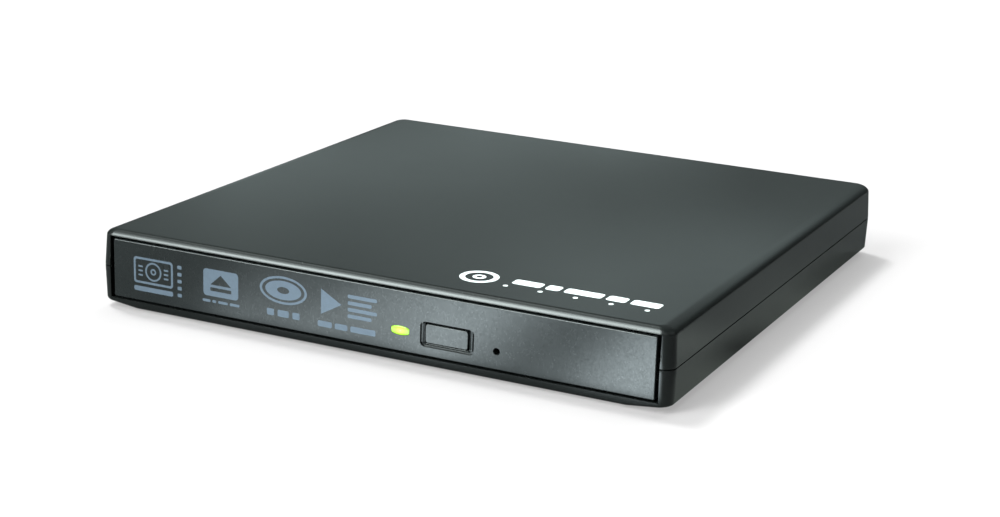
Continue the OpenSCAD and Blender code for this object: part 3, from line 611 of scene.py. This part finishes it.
slot_of = {part["node"]: part["material_slot"] for part in record["subparts"]}
for name, obj in nodes.items():
    paint(obj, LED_SOURCE if name == "activity_led" else MATERIALS[slot_of[name]])


# ------------------------------------------------------------------ the case
def case_outline(inward, radius, side=0.0):
    """The case seen from above, drawn in by inward and on the two sides by side as well."""
    x, y = CASE_HALF_X - inward - side, CASE_HALF_Y - inward
    return rounded_rect(-x, x, -y, y, radius, CASE_CORNER_STEPS)


def front_opening():
    return box(-65.86, 65.86, -72, -63.9, 2.36, 16.60)


def case_top():
    rings = [at_height(case_outline(inward, CORNER_RADIUS - less), SEAM_Z + SEAM_GAP / 2 + rise)
             for inward, rise, less in SEAM_LIP]
    lip_z = rings[-1][0][2]
    round_z = CASE_TOP_Z - TOP_ROUND
    for k in range(1, DRAFT_STEPS + 1):
        u = k / DRAFT_STEPS
        outline = case_outline(LIP_INSET + (TOP_DRAFT - LIP_INSET) * u, CORNER_RADIUS)
        rings.append(at_height(outline, lip_z + (round_z - lip_z) * u))
    side = TOP_ROUND_X - TOP_ROUND
    round_steps = 14
    for k in range(1, round_steps + 1):
        a = math.radians(90.0 * k / round_steps)
        inward = 1 - math.cos(a)
        outline = case_outline(TOP_DRAFT + TOP_ROUND * inward,
                               CORNER_RADIUS - TOP_ROUND * inward, side * inward)
        rings.append(at_height(outline, round_z + TOP_ROUND * math.sin(a)))
    rings.append(at_height(case_outline(
        TOP_DRAFT + TOP_ROUND + 0.30, CORNER_RADIUS - TOP_ROUND - 0.25, side), CASE_TOP_Z))
    obj = loft("case_top_shell", rings)

    cuts = [box(-INNER_X, INNER_X, INNER_FRONT_Y, INNER_BACK_Y, -5, CEILING_Z), front_opening()]
    for side in (-1, 1):
        for y in (-38.0, 24.0):     # notches in the side walls
            cuts.append(side_box(side, INNER_X - 0.1, INNER_X + 0.35, y - 3.3, y + 3.3,
                                 SEAM_Z + 0.3, SEAM_Z + 1.1))
    boolean(obj, cuts)

    adds = []
    for side in (-1, 1):            # a screw tube and a long ceiling rib on each side
        x = side * SCREW_X
        tube = cylinder(x, SCREW_Y, 2.6, SEAM_Z + 0.05, CEILING_Z + 0.05)
        boolean(tube, [cylinder(x, SCREW_Y, 1.02, SEAM_Z - 1, SEAM_Z + 5, 32)])
        adds.append(tube)
        adds.append(side_box(side, 55, 56, -56, 52, 15.85, CEILING_Z + 0.2))
    boolean(obj, adds, "UNION")
    shade_smooth(obj, sharp_angle=34)
    dress(obj, bevel_width=0.10, bevel_angle=34)
    return obj


FLAT_HALF_X = 59.0          # the underside is flat out to here and rises beyond


def underside_z(x):
    return UNDERSIDE_Z + max(0.0, (abs(x) - FLAT_HALF_X) / 10.8) * 1.2


def bottom_outline(inward, radius):
    """The case outline with extra points on both long edges where the flat ends."""
    points = case_outline(inward, radius)
    y = CASE_HALF_Y - inward
    corner = CASE_CORNER_STEPS + 1
    return (points[:corner] + [(FLAT_HALF_X, y), (-FLAT_HALF_X, y)]
            + points[corner:3 * corner] + [(-FLAT_HALF_X, -y), (FLAT_HALF_X, -y)]
            + points[3 * corner:])


def bottom_skin():
    """The outer form; its underside is one flat face between two sloping ones."""
    rings = [at_height(bottom_outline(inward, CORNER_RADIUS - less),
                       SEAM_Z - SEAM_GAP / 2 - drop)
             for inward, drop, less in SEAM_LIP]
    lip_z = rings[-1][0][2]
    for k in range(1, DRAFT_STEPS):
        u = k / DRAFT_STEPS
        outline = bottom_outline(LIP_INSET + (BOTTOM_DRAFT - LIP_INSET) * u, CORNER_RADIUS)
        rings.append([(x, y, lip_z + (underside_z(x) + BOTTOM_ROUND - lip_z) * u)
                      for x, y in outline])
    round_steps = 8
    for k in range(round_steps + 1):
        a = math.radians(90.0 * k / round_steps)
        inward = BOTTOM_ROUND * (1 - math.cos(a))
        outline = bottom_outline(BOTTOM_DRAFT + inward, CORNER_RADIUS - inward)
        rings.append([(x, y, underside_z(x) + BOTTOM_ROUND - BOTTOM_ROUND * math.sin(a))
                      for x, y in outline])

    size = len(rings[0])
    base = (len(rings) - 1) * size
    last = rings[-1]
    tolerance = 1e-6
    middle = [k for k in range(size) if abs(abs(last[k][0]) - FLAT_HALF_X) < tolerance]
    middle.sort(key=lambda k: math.atan2(last[k][1], last[k][0]))
    faces = [tuple(range(size))] + wall_faces(len(rings), size)
    faces.append(tuple(base + k for k in range(size) if last[k][0] >= FLAT_HALF_X - tolerance))
    faces.append(tuple(base + k for k in range(size) if last[k][0] <= -FLAT_HALF_X + tolerance))
    faces.append(tuple(base + k for k in middle))
    points = [point for ring in rings for point in ring]
    return fix_normals(make("case_bottom_shell", points, faces))


def case_bottom():
    obj = bottom_skin()
    floor = CASE_FLOOR_Z
    hollow = [(-INNER_X, 20), (-INNER_X, floor + 0.8), (-INNER_X + 8.7, floor),
              (INNER_X - 8.7, floor), (INNER_X, floor + 0.8), (INNER_X, 20)]
    cuts = [y_prism(hollow, INNER_FRONT_Y, INNER_BACK_Y), front_opening()]
    for side in (-1, 1):
        for end in (-1, 1):         # shallow round recesses near the corners
            cuts.append(cylinder(side * 52, end * 54, 4.7, BASE_Z - 1, BASE_Z + 0.5))
        x = side * SCREW_X
        cuts.append(cylinder(x, SCREW_Y, 2.15, BASE_Z - 1, BASE_Z + 1.6, 32))
        cuts.append(cylinder(x, SCREW_Y, 1.15, BASE_Z + 1, BASE_Z + 4, 32))
    # rear sockets: a plain slot, and a round hole that widens outwards
    cuts.append(y_prism(rounded_rect(-37.4, -28.9, 4.6, 9.3, 0.5, 6), 64.5, 69))
    cuts.append(y_loft([(circle(23, 7.2, 2.06), 64.5), (circle(23, 7.2, 2.06), 67.35),
                        (circle(23, 7.2, 2.9), 68.2)]))
    boolean(obj, cuts)

    # strips inside each side wall, then low ribs and a rear post:
    # distances from the middle, y range, z range
    side_blocks = [(65.75, 66.75, -64.05, 66.25, floor + 0.9, SEAM_Z - 0.05),
                   (65.75, 66.55, -63.9, 66.0, floor + 0.95, SEAM_Z + 1.1),
                   (9, 10, -58, 50, floor - 0.1, 3.07),
                   (39, 40, -42, 50, floor - 0.1, 3.07),
                   (45, 47, 59.95, 66.3, floor - 0.1, 8)]
    adds = []
    for side in (-1, 1):
        x = side * SCREW_X
        tube = cylinder(x, SCREW_Y, 2.6, floor - 0.1, SEAM_Z - 0.05)
        boolean(tube, [cylinder(x, SCREW_Y, 1.15, 0, 20, 32),
                       cylinder(x, SCREW_Y, 2.15, 0, BASE_Z + 1.6, 32)])
        adds.append(tube)
        adds += [side_box(side, *block) for block in side_blocks]
    for x in (-40, 28.3):           # stepped pegs near the rear wall
        wide, narrow = circle(x, 63.2, 1.2, 32), circle(x, 63.2, 0.6, 32)
        adds.append(z_loft([(wide, floor - 0.1), (wide, 3.98), (narrow, 3.98), (narrow, 5.4)]))
    boolean(obj, adds, "UNION")
    shade_smooth(obj, sharp_angle=34)
    dress(obj, bevel_width=0.10, bevel_angle=34)
    return obj


register(case_top(), "case", "case_plastic", replaces="top_shell")
register(case_bottom(), "case", "case_plastic", replaces="bottom_shell")


# ------------------------------------------------------------------ bezel, button, light
def led_outline(grow):
    """An oval of two arcs, its ends cut off and rounded."""
    radius, half_height, steps = 6.39, 0.975, 20
    half = 2.12 + grow
    points = []
    for sign in (1, -1):
        for k in range(steps + 1):
            x = sign * half * (1 - 2.0 * k / steps)
            z = sign * (math.sqrt((radius + grow) ** 2 - x * x) - (radius - half_height))
            squeeze = 1.0 - 0.30 * max(0.0, (abs(x) / half - 0.86) / 0.14) ** 2
            points.append((LED_X + x, LED_Z + z * squeeze))
    return points


def rounded_front(rect, radius, edge, radius_loss, corner_steps, y):
    """Sections for a plate whose front edge is rounded by edge, the face lying at y."""
    sections = []
    for k in range(5):
        a = math.radians(90.0 * k / 4)
        inward = edge * (1 - math.sin(a))
        outline = rounded_rect(*inset(rect, inward), radius - inward * radius_loss, corner_steps)
        sections.append((outline, y + edge * (1 - math.cos(a))))
    return sections


def button_well():
    """Cutters for the dished surround of the button.

    A fine groove runs round its left, lower and right sides; the slot is open above the cap.
    """
    x0, x1, z0, z1 = BUTTON_RECT
    slot = (x0 - 0.27, x1 + 0.30, z0 - 0.24, z1 + 0.55)
    outer = (slot[0] - 0.92, slot[1] + 1.18, slot[2] - 0.68, slot[3])
    top = slot[3]
    groove_width = 0.40
    left, right, low = (outer[0] + groove_width, outer[1] - groove_width,
                        outer[2] + groove_width)
    funnel = y_loft([
        (rounded_rect(left - 0.2, right + 0.2, low - 0.1, top + 0.02, 1.0), FACE_Y - 0.15),
        (rounded_rect(left, right, low, top + 0.01, 0.9), FACE_Y + 0.02),
        (rounded_rect(left + 0.16, right - 0.22, low + 0.06, top + 0.005, 0.75), FACE_Y + 0.07),
        (rounded_rect(slot[0] - 0.06, slot[1] + 0.06, slot[2] - 0.06, top, 0.5), FACE_Y + 0.42),
        (rounded_rect(*slot, 0.45), FACE_Y + 0.44),
        (rounded_rect(*slot, 0.45), FACE_Y + 4)])
    groove = y_prism(rounded_rect(*outer, 1.1), FACE_Y - 0.5, FACE_Y + 0.60)
    island = rounded_rect(left, right, low, top + 3, 0.9)
    boolean(groove, [y_prism(island, FACE_Y - 1, FACE_Y + 1)])
    return [funnel, groove]


def bezel():
    sections = rounded_front(BEZEL_RECT, BEZEL_RADIUS, edge=0.25, radius_loss=0.5,
                             corner_steps=6, y=FACE_Y)
    sections.append((rounded_rect(*BEZEL_RECT, BEZEL_RADIUS, 6), FACE_Y + 2.2))
    obj = y_loft(sections, "front_bezel_plate")

    rim_outer = rounded_rect(*inset(BEZEL_RECT, 0.001), BEZEL_RADIUS, 6)
    rim = y_prism(rim_outer, FACE_Y + 1.2, -64.7)
    rim_inner = rounded_rect(*inset(BEZEL_RECT, 1.4), 0.4, 6)
    boolean(rim, [y_prism(rim_inner, FACE_Y + 0.5, -60)])
    adds = [rim]
    for side in (-1, 1):            # hooked tabs behind the plate
        adds.append(side_box(side, 47, 53, -66.7, -60.05, 7.9, 9.2))
        adds.append(side_box(side, 48, 52, -61, -60.0, 7.2, 8))
    boolean(obj, adds, "UNION")

    pin_hole = circle(*PIN_HOLE, 0.725, 40)
    boolean(obj, button_well() + [
        y_prism(led_outline(0.06), FACE_Y - 1, FACE_Y + 4),
        y_loft([(circle(*PIN_HOLE, 0.95, 40), FACE_Y - 0.22), (pin_hole, FACE_Y + 0.12),
                (pin_hole, FACE_Y + 4)])])
    shade_smooth(obj, sharp_angle=28)
    dress(obj, bevel_width=0.07, bevel_angle=24)
    return obj


def button():
    x0, x1, z0, z1 = BUTTON_RECT
    sections = rounded_front(BUTTON_RECT, 0.5, edge=0.16, radius_loss=0.6,
                             corner_steps=8, y=FACE_Y + 0.1)
    sections.append((rounded_rect(*BUTTON_RECT, 0.5, 8), -65.35))
    obj = y_loft(sections, "eject_button_cap")
    flange_outline = rounded_rect(x0 - 0.7, x1 + 0.7, z0 - 0.6, z1 + 0.5, 0.5, 8)
    flange = y_prism(flange_outline, FACE_Y + 2.25, FACE_Y + 2.8)
    stem = box(18, 20, -65, -62.4, 7.2, 8.6)
    boolean(obj, [flange, stem], "UNION")
    shade_smooth(obj, sharp_angle=34)
    dress(obj, bevel_width=0.06, bevel_angle=40)
    return obj


def lens():
    base = led_outline(0.0)
    cx = sum(x for x, _ in base) / len(base)
    cz = sum(z for _, z in base) / len(base)

    def scaled(k):
        return [(cx + (x - cx) * k, cz + (z - cz) * k) for x, z in base]

    bulge = 0.20
    sections = [(scaled(0.001), FACE_Y - 0.17)]
    for k in (0.2, 0.4, 0.6, 0.75, 0.86, 0.94, 0.985):
        sections.append((scaled(k), FACE_Y + 0.03 - bulge * math.sqrt(1 - k * k)))
    sections += [(scaled(1.0), FACE_Y + 0.06), (scaled(1.0), FACE_Y + 4.2)]
    obj = y_loft(sections, "activity_light_lens")
    shade_smooth(obj, sharp_angle=50)
    dress(obj)
    return obj


register(bezel(), "tray", "bezel_plastic", replaces="front_bezel")
register(button(), "eject_button", "bezel_plastic", replaces="eject_button")
register(lens(), "tray", "led_plastic", replaces="led_lens")

# ------------------------------------------------------------------ printed marks
PRINT_THICKNESS = 0.014
PRINT_SINK = 0.004          # how deep the ink starts below the surface


def patch(outlines, place):
    """A thin printed patch from closed outlines; inner outlines are holes."""
    bm = bmesh.new()
    edges = []
    for outline in outlines:
        verts = [bm.verts.new((u * MM, v * MM, 0)) for u, v in outline]
        for a, b in zip(verts, verts[1:] + verts[:1]):
            edges.append(bm.edges.new((a, b)))
    bmesh.ops.triangle_fill(bm, use_beauty=True, use_dissolve=False, edges=edges)
    bmesh.ops.recalc_face_normals(bm, faces=bm.faces)
    if bm.faces and bm.faces[0].normal.z < 0:
        bmesh.ops.reverse_faces(bm, faces=bm.faces)
    extruded = bmesh.ops.extrude_face_region(bm, geom=list(bm.faces))
    for item in extruded["geom"]:
        if isinstance(item, bmesh.types.BMVert):
            item.co.z += PRINT_THICKNESS * MM
    for vert in bm.verts:
        vert.co = Vector(place(*vert.co))
    bmesh.ops.recalc_face_normals(bm, faces=bm.faces)
    return object_from_bmesh("patch", bm)


def on_front(x, z, height):
    return (x, FACE_Y * MM + PRINT_SINK * MM - height, z)


def on_top(x, y, height):
    return (x, y, CASE_TOP_Z * MM - PRINT_SINK * MM + height)


def bar(u0, u1, v0, v1, radius):
    return rounded_rect(u0, u1, v0, v1, radius, 4)


def front_marks():
    """Each entry is one patch: its outline, then any holes, in x and z."""
    # a frame round a ring and a smaller ring, with ticks on both sides
    marks = [[rounded_rect(-59.6, -49.2, 6.9, 12.9, 0.7, 6),
              rounded_rect(-59.1, -49.7, 7.4, 12.4, 0.45, 6)],
             [circle(-54.4, 9.9, 2.15, 56), circle(-54.4, 9.9, 1.75, 56)],
             [circle(-54.4, 9.9, 0.75, 56), circle(-54.4, 9.9, 0.38, 56)]]
    for k in range(3):
        for x0, x1 in ((-58.4, -57.2), (-51.6, -50.4)):
            marks.append([bar(x0, x1, 8.6 + k * 1.0, 9.0 + k * 1.0, 0.15)])
    # a bar below the frame and a column of dashes to its right
    marks.append([bar(-59.6, -49.2, 5.1, 6.2, 0.4)])
    for k in range(5):
        marks.append([bar(-48.0, -46.9, 5.3 + 1.6 * k, 6.1 + 1.6 * k, 0.2)])
    # a solid tile with a triangle and a bar left open, over a dashed line
    marks.append([rounded_rect(-41.2, -32.2, 7.0, 13.1, 0.8, 6),
                  [(-36.7, 12.0), (-39.4, 9.6), (-34.0, 9.6)],
                  bar(-39.4, -34.0, 8.2, 9.0, 0.15)])
    for x0, x1 in ((-41.4, -39.4), (-38.9, -37.9), (-37.4, -34.9), (-34.4, -31.9)):
        marks.append([bar(x0, x1, 5.55, 6.15, 0.25)])
    # nested oval rings over short bars: outer half sizes, inner half sizes
    for outer, inner in (((5.9, 3.1), (5.3, 2.6)), ((4.5, 2.1), (1.5, 0.75))):
        marks.append([ellipse(-20.8, 11.3, *half, 72) for half in (outer, inner)])
    for x0, x1 in ((-24.9, -23.1), (-22.2, -19.4), (-18.5, -16.7)):
        marks.append([bar(x0, x1, 5.3, 6.8, 0.3)])
    # a triangle beside stacked lines, over a row of bars
    marks.append([[(-11.4, 13.3), (-11.4, 7.7), (-6.4, 10.5)]])
    for k in range(4):
        marks.append([bar(-4.9, 2.2 - 1.3 * (k % 2), 12.3 - 1.45 * k, 13.1 - 1.45 * k, 0.3)])
    for x0, x1 in ((-12.2, -8.7), (-8.0, -4.9), (-4.2, 1.9)):
        marks.append([bar(x0, x1, 4.9, 6.2, 0.35)])
    return join("front_printed_marks", [patch(mark, on_front) for mark in marks])


def top_mark():
    """Two rings, a row of bars and a row of dots, in x and y."""
    marks = [[circle(20.0, -56.0, 4.2, 96), circle(20.0, -56.0, 3.0, 96)],
             [circle(20.0, -56.0, 1.45, 64), circle(20.0, -56.0, 0.65, 48)]]
    x = 27.6
    for width in (6.6, 3.2, 8.4, 4.4, 6.4):
        marks.append([bar(x, x + width, -56.6, -53.4, 0.75)])
        x += width + 1.0
    for k in range(5):
        marks.append([circle(27.4 + 7.9 * k, -58.7, 0.55, 24)])
    return join("top_printed_mark", [patch(mark, on_top) for mark in marks])


register(front_marks(), "tray", "bezel_plastic", material=FRONT_INK)
register(top_mark(), "case", "case_plastic", material=TOP_INK)


# ------------------------------------------------------------------ springs and screw thread
def wire(name, path, radius, sides=10):
    """Round wire along a path of points, with closed ends."""
    rings = []
    up = Vector((0.31, 0.17, 0.93)).normalized()
    for i, point in enumerate(path):
        before = path[max(0, i - 1)]
        after = path[min(len(path) - 1, i + 1)]
        along = (after - before).normalized()
        up = (up - up.dot(along) * along).normalized()
        across = along.cross(up)
        angles = [2 * math.pi * k / sides for k in range(sides)]
        rings.append([tuple(point + up * (radius * math.cos(a)) + across * (radius * math.sin(a)))
                      for a in angles])
    obj = loft(name, rings)
    shade_smooth(obj, sharp_angle=60)
    return obj


def helix(radius, turns, rise, base=0.0, steps_per_turn=28):
    count = int(turns * steps_per_turn)
    points = []
    for k in range(count + 1):
        a = 2 * math.pi * k / steps_per_turn
        points.append(Vector((radius * math.cos(a), radius * math.sin(a),
                              base + rise * k / count)))
    return points


def move(x, y, z):
    return Matrix.Translation((x * MM, y * MM, z * MM))


def ejector_spring():
    """A coil lying along +y."""
    obj = wire("ejector_coil_spring", helix(radius=1.6, turns=11, rise=19.1), radius=0.2)
    obj.data.transform(move(50, 36.8, 6.25) @ Matrix.Rotation(math.radians(-90), 4, "X"))
    dress(obj)
    return obj


def latch_spring():
    """A short upright coil with two arms pointing to the front."""
    top, low = 1.22, 0.35
    upper_arm = [(1.45, -4.8), (1.48, -3.2), (1.48, -1.6), (1.46, -0.5)]
    lower_arm = [(-1.5, -0.9), (-1.5, -2.6)]
    path = [Vector((x, y, top)) for x, y in upper_arm]
    path += helix(radius=1.45, turns=3.5, rise=-0.87, base=top)
    path += [Vector((x, y, low)) for x, y in lower_arm]
    obj = wire("latch_torsion_spring", path, radius=0.17)
    obj.data.transform(move(35.3, -55, 7.15))
    dress(obj)
    return obj


def lead_screw():
    """Rod with a single rounded helical groove between plain ends.

    It is drawn along x, then turned into the slanted frame of the drive mechanism.
    """
    rod_radius, depth, lead = 1.0, 0.22, 3.0
    x0, x1 = 16.6, 64.2
    axis_y, axis_z = 19.5, 6.9
    groove_start, groove_end, fade_length = 19.8, 61.6, 0.6
    stations, sides = 300, 20
    rings = []
    for i in range(stations + 1):
        x = x0 + (x1 - x0) * i / stations
        fade = max(0.0, min(1.0, (x - groove_start) / fade_length,
                            (groove_end - x) / fade_length))
        ring = []
        for k in range(sides):
            a = 2 * math.pi * k / sides
            phase = (x / lead - k / sides) % 1.0
            groove = 0.5 - 0.5 * math.cos(2 * math.pi * phase)
            radius = rod_radius - depth * fade * groove ** 3
            ring.append((x, axis_y + radius * math.cos(a), axis_z + radius * math.sin(a)))
        rings.append(ring)
    obj = loft("lead_screw_thread", rings)
    obj.data.transform(move(0, -3.4, 0) @ Matrix.Rotation(math.radians(225), 4, "Z"))
    shade_smooth(obj, sharp_angle=60)
    dress(obj)
    return obj


register(ejector_spring(), "case", "spring_steel", replaces="ejector_spring")
register(latch_spring(), "tray", "spring_steel", replaces="latch_spring")
register(lead_screw(), "lead_screw", "bright_steel", replaces="lead_screw")

# ------------------------------------------------------------------ eased edges on CAD pieces
EDGE_WIDTH = 0.04
WIDER_EDGES = {"rubber_feet": 0.12, "disc_tray": 0.12, "spindle_hub": 0.08, "trim_plate": 0.06,
               "lens_cover": 0.08, "drive_cover": 0.05, "drive_chassis": 0.05,
               "turntable_ring": 0.05, "usb_socket_shell": 0.05}
for name, obj in nodes.items():
    if not obj.hide_render:
        dress(obj, WIDER_EDGES.get(name, EDGE_WIDTH), bevel_angle=38, weld=True)

# ------------------------------------------------------------------ stage
TINT = (0.925, 1.045, 1.030)    # coolness of the light, taken out again in the visible floor
FLOOR_SEEN = 0.28               # albedo of the floor as the camera sees it
FLOOR_LIFT = 0.355              # even glow that keeps the pale floor pale
FLOOR_BOUNCE = 0.09             # albedo of the floor as the object sees it
UNDER_HALF, UNDER_GLOW = (0.063, 0.069), 0.9    # fading edge and strength of the glow below

# Pools of light that only reflections see. A row gives the first value's place, the step
# between values and their colour; a band gives the two ranges across the row over which it
# fades in and out, and its strengths along the row.
FRONT_ROW = dict(start=-0.100, step=0.010, tint=(0.890, 1.033, 1.077))      # along x, across y
FRONT_BANDS = [
    ((-0.106, -0.078), (-0.0775, -0.0735),
     [0.0, 0.0, 0.0, 0.0, 0.0, 0.54, 3.04, 3.002, 3.922, 3.472, 4.441, 7.141, 3.5, 1.796, 2.741,
      7.237, 8.45, 0.0]),
    ((-0.170, -0.130), (-0.106, -0.078),
     [0.0, 0.156, 0.0, 0.0, 0.264, 1.606, 0.912, 1.334, 4.081, 5.52, 7.667, 6.892, 1.95, 0.289,
      2.402, 8.965, 8.785, 0.0])]
RIGHT_ROW = dict(start=-0.080, step=0.020, tint=(0.940, 1.075, 0.985))      # along y, across x
RIGHT_BANDS = [
    ((0.063, 0.069), (0.072, 0.086),
     [0.0, 0.266, 0.297, 0.052, 0.219, 0.243, 0.12, 0.094, 0.0, 0.0, 0.0, 0.0, 0.0]),
    ((0.072, 0.086), (0.100, 0.130),
     [0.0, 0.0, 0.0, 0.372, 0.015, 0.012, 0.061, 0.0, 0.0, 0.0, 0.0, 0.0, 0.0])]
BACK_ROW = dict(start=-0.300, step=0.045, tint=(0.800, 0.985, 0.985))       # along x, across z
BACK_BANDS = [
    ((0.010, 0.030), (0.030, 0.050),
     [0.0, 0.01, 0.0, 0.513, 0.0, 0.405, 0.508, 0.123, 0.071, 0.0]),
    ((0.030, 0.050), (0.050, 0.070),
     [0.0, 0.017, 0.0, 0.541, 0.577, 0.337, 0.0, 0.0, 0.154, 0.0]),
    ((0.050, 0.070), (0.070, 0.090),
     [0.0, 0.089, 0.136, 0.277, 0.093, 0.0, 0.295, 0.836, 0.395, 0.0]),
    ((0.070, 0.090), (0.090, 0.110),
     [0.0, 0.163, 0.314, 0.186, 0.214, 0.582, 0.979, 0.0, 0.545, 0.0])]


def light_bands(s, along, across, bands, start, step, tint):
    """One emission shader per band."""
    shaders = []
    for fade_in, fade_out, values in bands:
        colours = [tuple(value * c for c in tint) for value in values]
        peak = max(max(colour) for colour in colours)
        last = len(colours) - 1
        stops = [(i / last, tuple(c / peak for c in colour)) for i, colour in enumerate(colours)]
        ramp = s.colour_ramp(s.remap(along, span=(start, start + step * last)), stops)
        weight = s.math("MULTIPLY", s.remap(across, span=fade_in),
                        s.remap(across, span=fade_out, to=(1.0, 0.0)))
        shaders.append(s.shader("ShaderNodeEmission", Color=ramp,
                                Strength=s.math("MULTIPLY", weight, peak)))
    return shaders


def add_all(s, total, shaders):
    for shader in shaders:
        total = s.add_shader(total, shader)
    return total


def floor_material():
    """Pale to the camera, dull to the object, with pools of light in its reflections."""
    s = Nodes(bpy.data.materials.new("studio_floor"), "ShaderNodeOutputMaterial")
    rays = s.node("ShaderNodeLightPath").outputs
    mottle = s.remap(s.noise(scale=6.0))
    colour = s.mix(mottle, tuple(0.99 * FLOOR_SEEN / c for c in TINT),
                   tuple(FLOOR_SEEN / c for c in TINT))
    seen = s.add_shader(s.shader("ShaderNodeBsdfDiffuse", Color=colour),
                        s.shader("ShaderNodeEmission", Strength=FLOOR_LIFT))
    dull = s.shader("ShaderNodeBsdfDiffuse", Color=(FLOOR_BOUNCE,) * 3 + (1,))
    x, y, _ = s.position()
    pools = light_bands(s, x, y, FRONT_BANDS, **FRONT_ROW)
    pools += light_bands(s, y, x, RIGHT_BANDS, **RIGHT_ROW)
    unseen = s.mix_shader(rays["Is Glossy Ray"], dull, add_all(s, dull, pools))
    # a weak glow under the case, only there to be mirrored by the underside
    within_x, within_y = (s.remap(s.math("ABSOLUTE", coord), span=UNDER_HALF, to=(1.0, 0.0))
                          for coord in (x, y))
    inside = s.math("MULTIPLY", within_x, within_y)
    under = s.shader("ShaderNodeEmission", Strength=s.math("MULTIPLY", inside, UNDER_GLOW))
    above = s.mix_shader(rays["Is Camera Ray"], s.add_shader(unseen, under), seen)
    # clear from below, so that the underside can be looked at
    from_below = s.node("ShaderNodeNewGeometry").outputs["Backfacing"]
    s.show(s.mix_shader(from_below, above, s.shader("ShaderNodeBsdfTransparent")))
    return s.owner


def backdrop_material():
    """Clear to everything but reflections."""
    s = Nodes(bpy.data.materials.new("studio_backdrop"), "ShaderNodeOutputMaterial")
    glossy = s.node("ShaderNodeLightPath").outputs["Is Glossy Ray"]
    x, _, z = s.position()
    bands = light_bands(s, x, z, BACK_BANDS, **BACK_ROW)
    clear = s.shader("ShaderNodeBsdfTransparent")
    s.show(s.mix_shader(glossy, clear, add_all(s, clear, bands)))
    return s.owner


QUAD = [(0, 1, 2, 3)]
floor = make("studio_floor", [(-9000, -9000, 0), (9000, -9000, 0), (9000, 9000, 0),
                              (-9000, 9000, 0)], QUAD)
paint(floor, floor_material())
backdrop = make("studio_backdrop", [(-340, 130, 0), (140, 130, 0), (140, 130, 125),
                                    (-340, 130, 125)], QUAD)
paint(backdrop, backdrop_material())

# ------------------------------------------------------------------ lights
AMBIENT = (0.0481, 0.0543, 0.0536)
# Soft lobes of studio light: bearing in degrees from behind (+y) towards the right (+x),
# height in degrees, half angle in degrees, colour
LOBES = [
    (203, 14, 6, (5.400, 6.101, 6.013)),
    (205, 36, 9, (7.352, 8.306, 8.186)),
    (205, 52, 9, (7.332, 8.283, 8.164)),
    (-30, 38, 26, (0.071, 0.080, 0.079)),
    (198, 18, 7, (2.480, 2.802, 2.761)),
    (208, 20, 7, (13.861, 15.659, 15.435)),
    (219, 22, 7, (8.414, 9.505, 9.369)),
    (195, 30, 7, (4.744, 5.360, 5.283)),
    (205, 32, 7, (2.952, 3.335, 3.287)),
    (216, 34, 7, (11.467, 12.955, 12.769)),
    (-60, 62, 10, (1.988, 2.246, 2.213)),
    (222, 50, 10, (3.2, 3.6, 3.6)),
    (242, 62, 12, (1.6, 1.8, 1.8)),
    (152, 32, 20, (0.42, 0.46, 0.46)),
    (252, 22, 14, (0.34, 0.37, 0.37)),
    (84, 34, 18, (0.34, 0.37, 0.37)),
]
LOBE_OUTER, LOBE_INNER = 1.6, 0.25      # where a lobe fades out and is full, in half angles


def direction(bearing, height):
    a, e = math.radians(bearing), math.radians(height)
    return (math.sin(a) * math.cos(e), math.cos(a) * math.cos(e), math.sin(e))


def sun(name, bearing, height, spread, power):
    """A broad far light that gives the shadow on the floor; it stays out of reflections."""
    light = bpy.data.lights.new(name, "SUN")
    light.energy = power
    light.angle = math.radians(spread)
    light.color = TINT
    obj = add_object(name, light)
    obj.rotation_euler = Vector(direction(bearing, height)).to_track_quat("Z", "Y").to_euler()
    obj.visible_glossy = False


def studio_world():
    """The lobes light the object; the camera sees plain white."""
    world = bpy.data.worlds.new("studio")
    bpy.context.scene.world = world
    s = Nodes(world, "ShaderNodeOutputWorld")
    view = s.node("ShaderNodeTexCoord").outputs["Generated"]
    total = None
    for bearing, height, half_angle, colour in LOBES:
        facing = s.vector_math("DOT_PRODUCT", {0: view, 1: direction(bearing, height)}, "Value")
        span = tuple(math.cos(math.radians(half_angle * k)) for k in (LOBE_OUTER, LOBE_INNER))
        strength = s.remap(facing, span=span, interpolation_type="SMOOTHSTEP")
        glow = s.vector_math("SCALE", {0: colour, "Scale": strength})
        total = glow if total is None else s.vector_math("ADD", {0: total, 1: glow})
    light = s.vector_math("ADD", {0: AMBIENT, 1: total})
    seen_by_camera = s.node("ShaderNodeLightPath").outputs["Is Camera Ray"]
    lit = s.shader("ShaderNodeBackground", Color=light)
    white = s.shader("ShaderNodeBackground", Color=(1, 1, 1, 1))
    s.show(s.mix_shader(seen_by_camera, lit, white))


sun("key_light", bearing=-66, height=62, spread=12, power=3.4)
sun("top_light", bearing=0, height=50, spread=50, power=2.2)
studio_world()

# ------------------------------------------------------------------ camera and output
# Camera axes and place in the scene
CAMERA_RIGHT = (0.896257, 0.4424622, 0.03083169)
CAMERA_UP = (-0.15251051, 0.24215957, 0.95817498)
CAMERA_BACK = (0.41649002, -0.86347319, 0.28451734)
CAMERA_PLACE = (0.200856, -0.421332, 0.143085)

camera_data = bpy.data.cameras.new("camera")
camera = add_object("camera", camera_data)
camera_data.sensor_width = 36.0
camera_data.lens = 73.4266
camera_data.clip_start = 0.02
camera_data.clip_end = 60.0
camera.matrix_world = Matrix(((*CAMERA_RIGHT, 0), (*CAMERA_UP, 0), (*CAMERA_BACK, 0),
                              (*CAMERA_PLACE, 1))).transposed()
bpy.context.scene.camera = camera

view_settings = bpy.context.scene.view_settings
view_settings.view_transform = "Standard"
view_settings.look = "None"
view_settings.exposure = 0.0
view_settings.gamma = 1.0
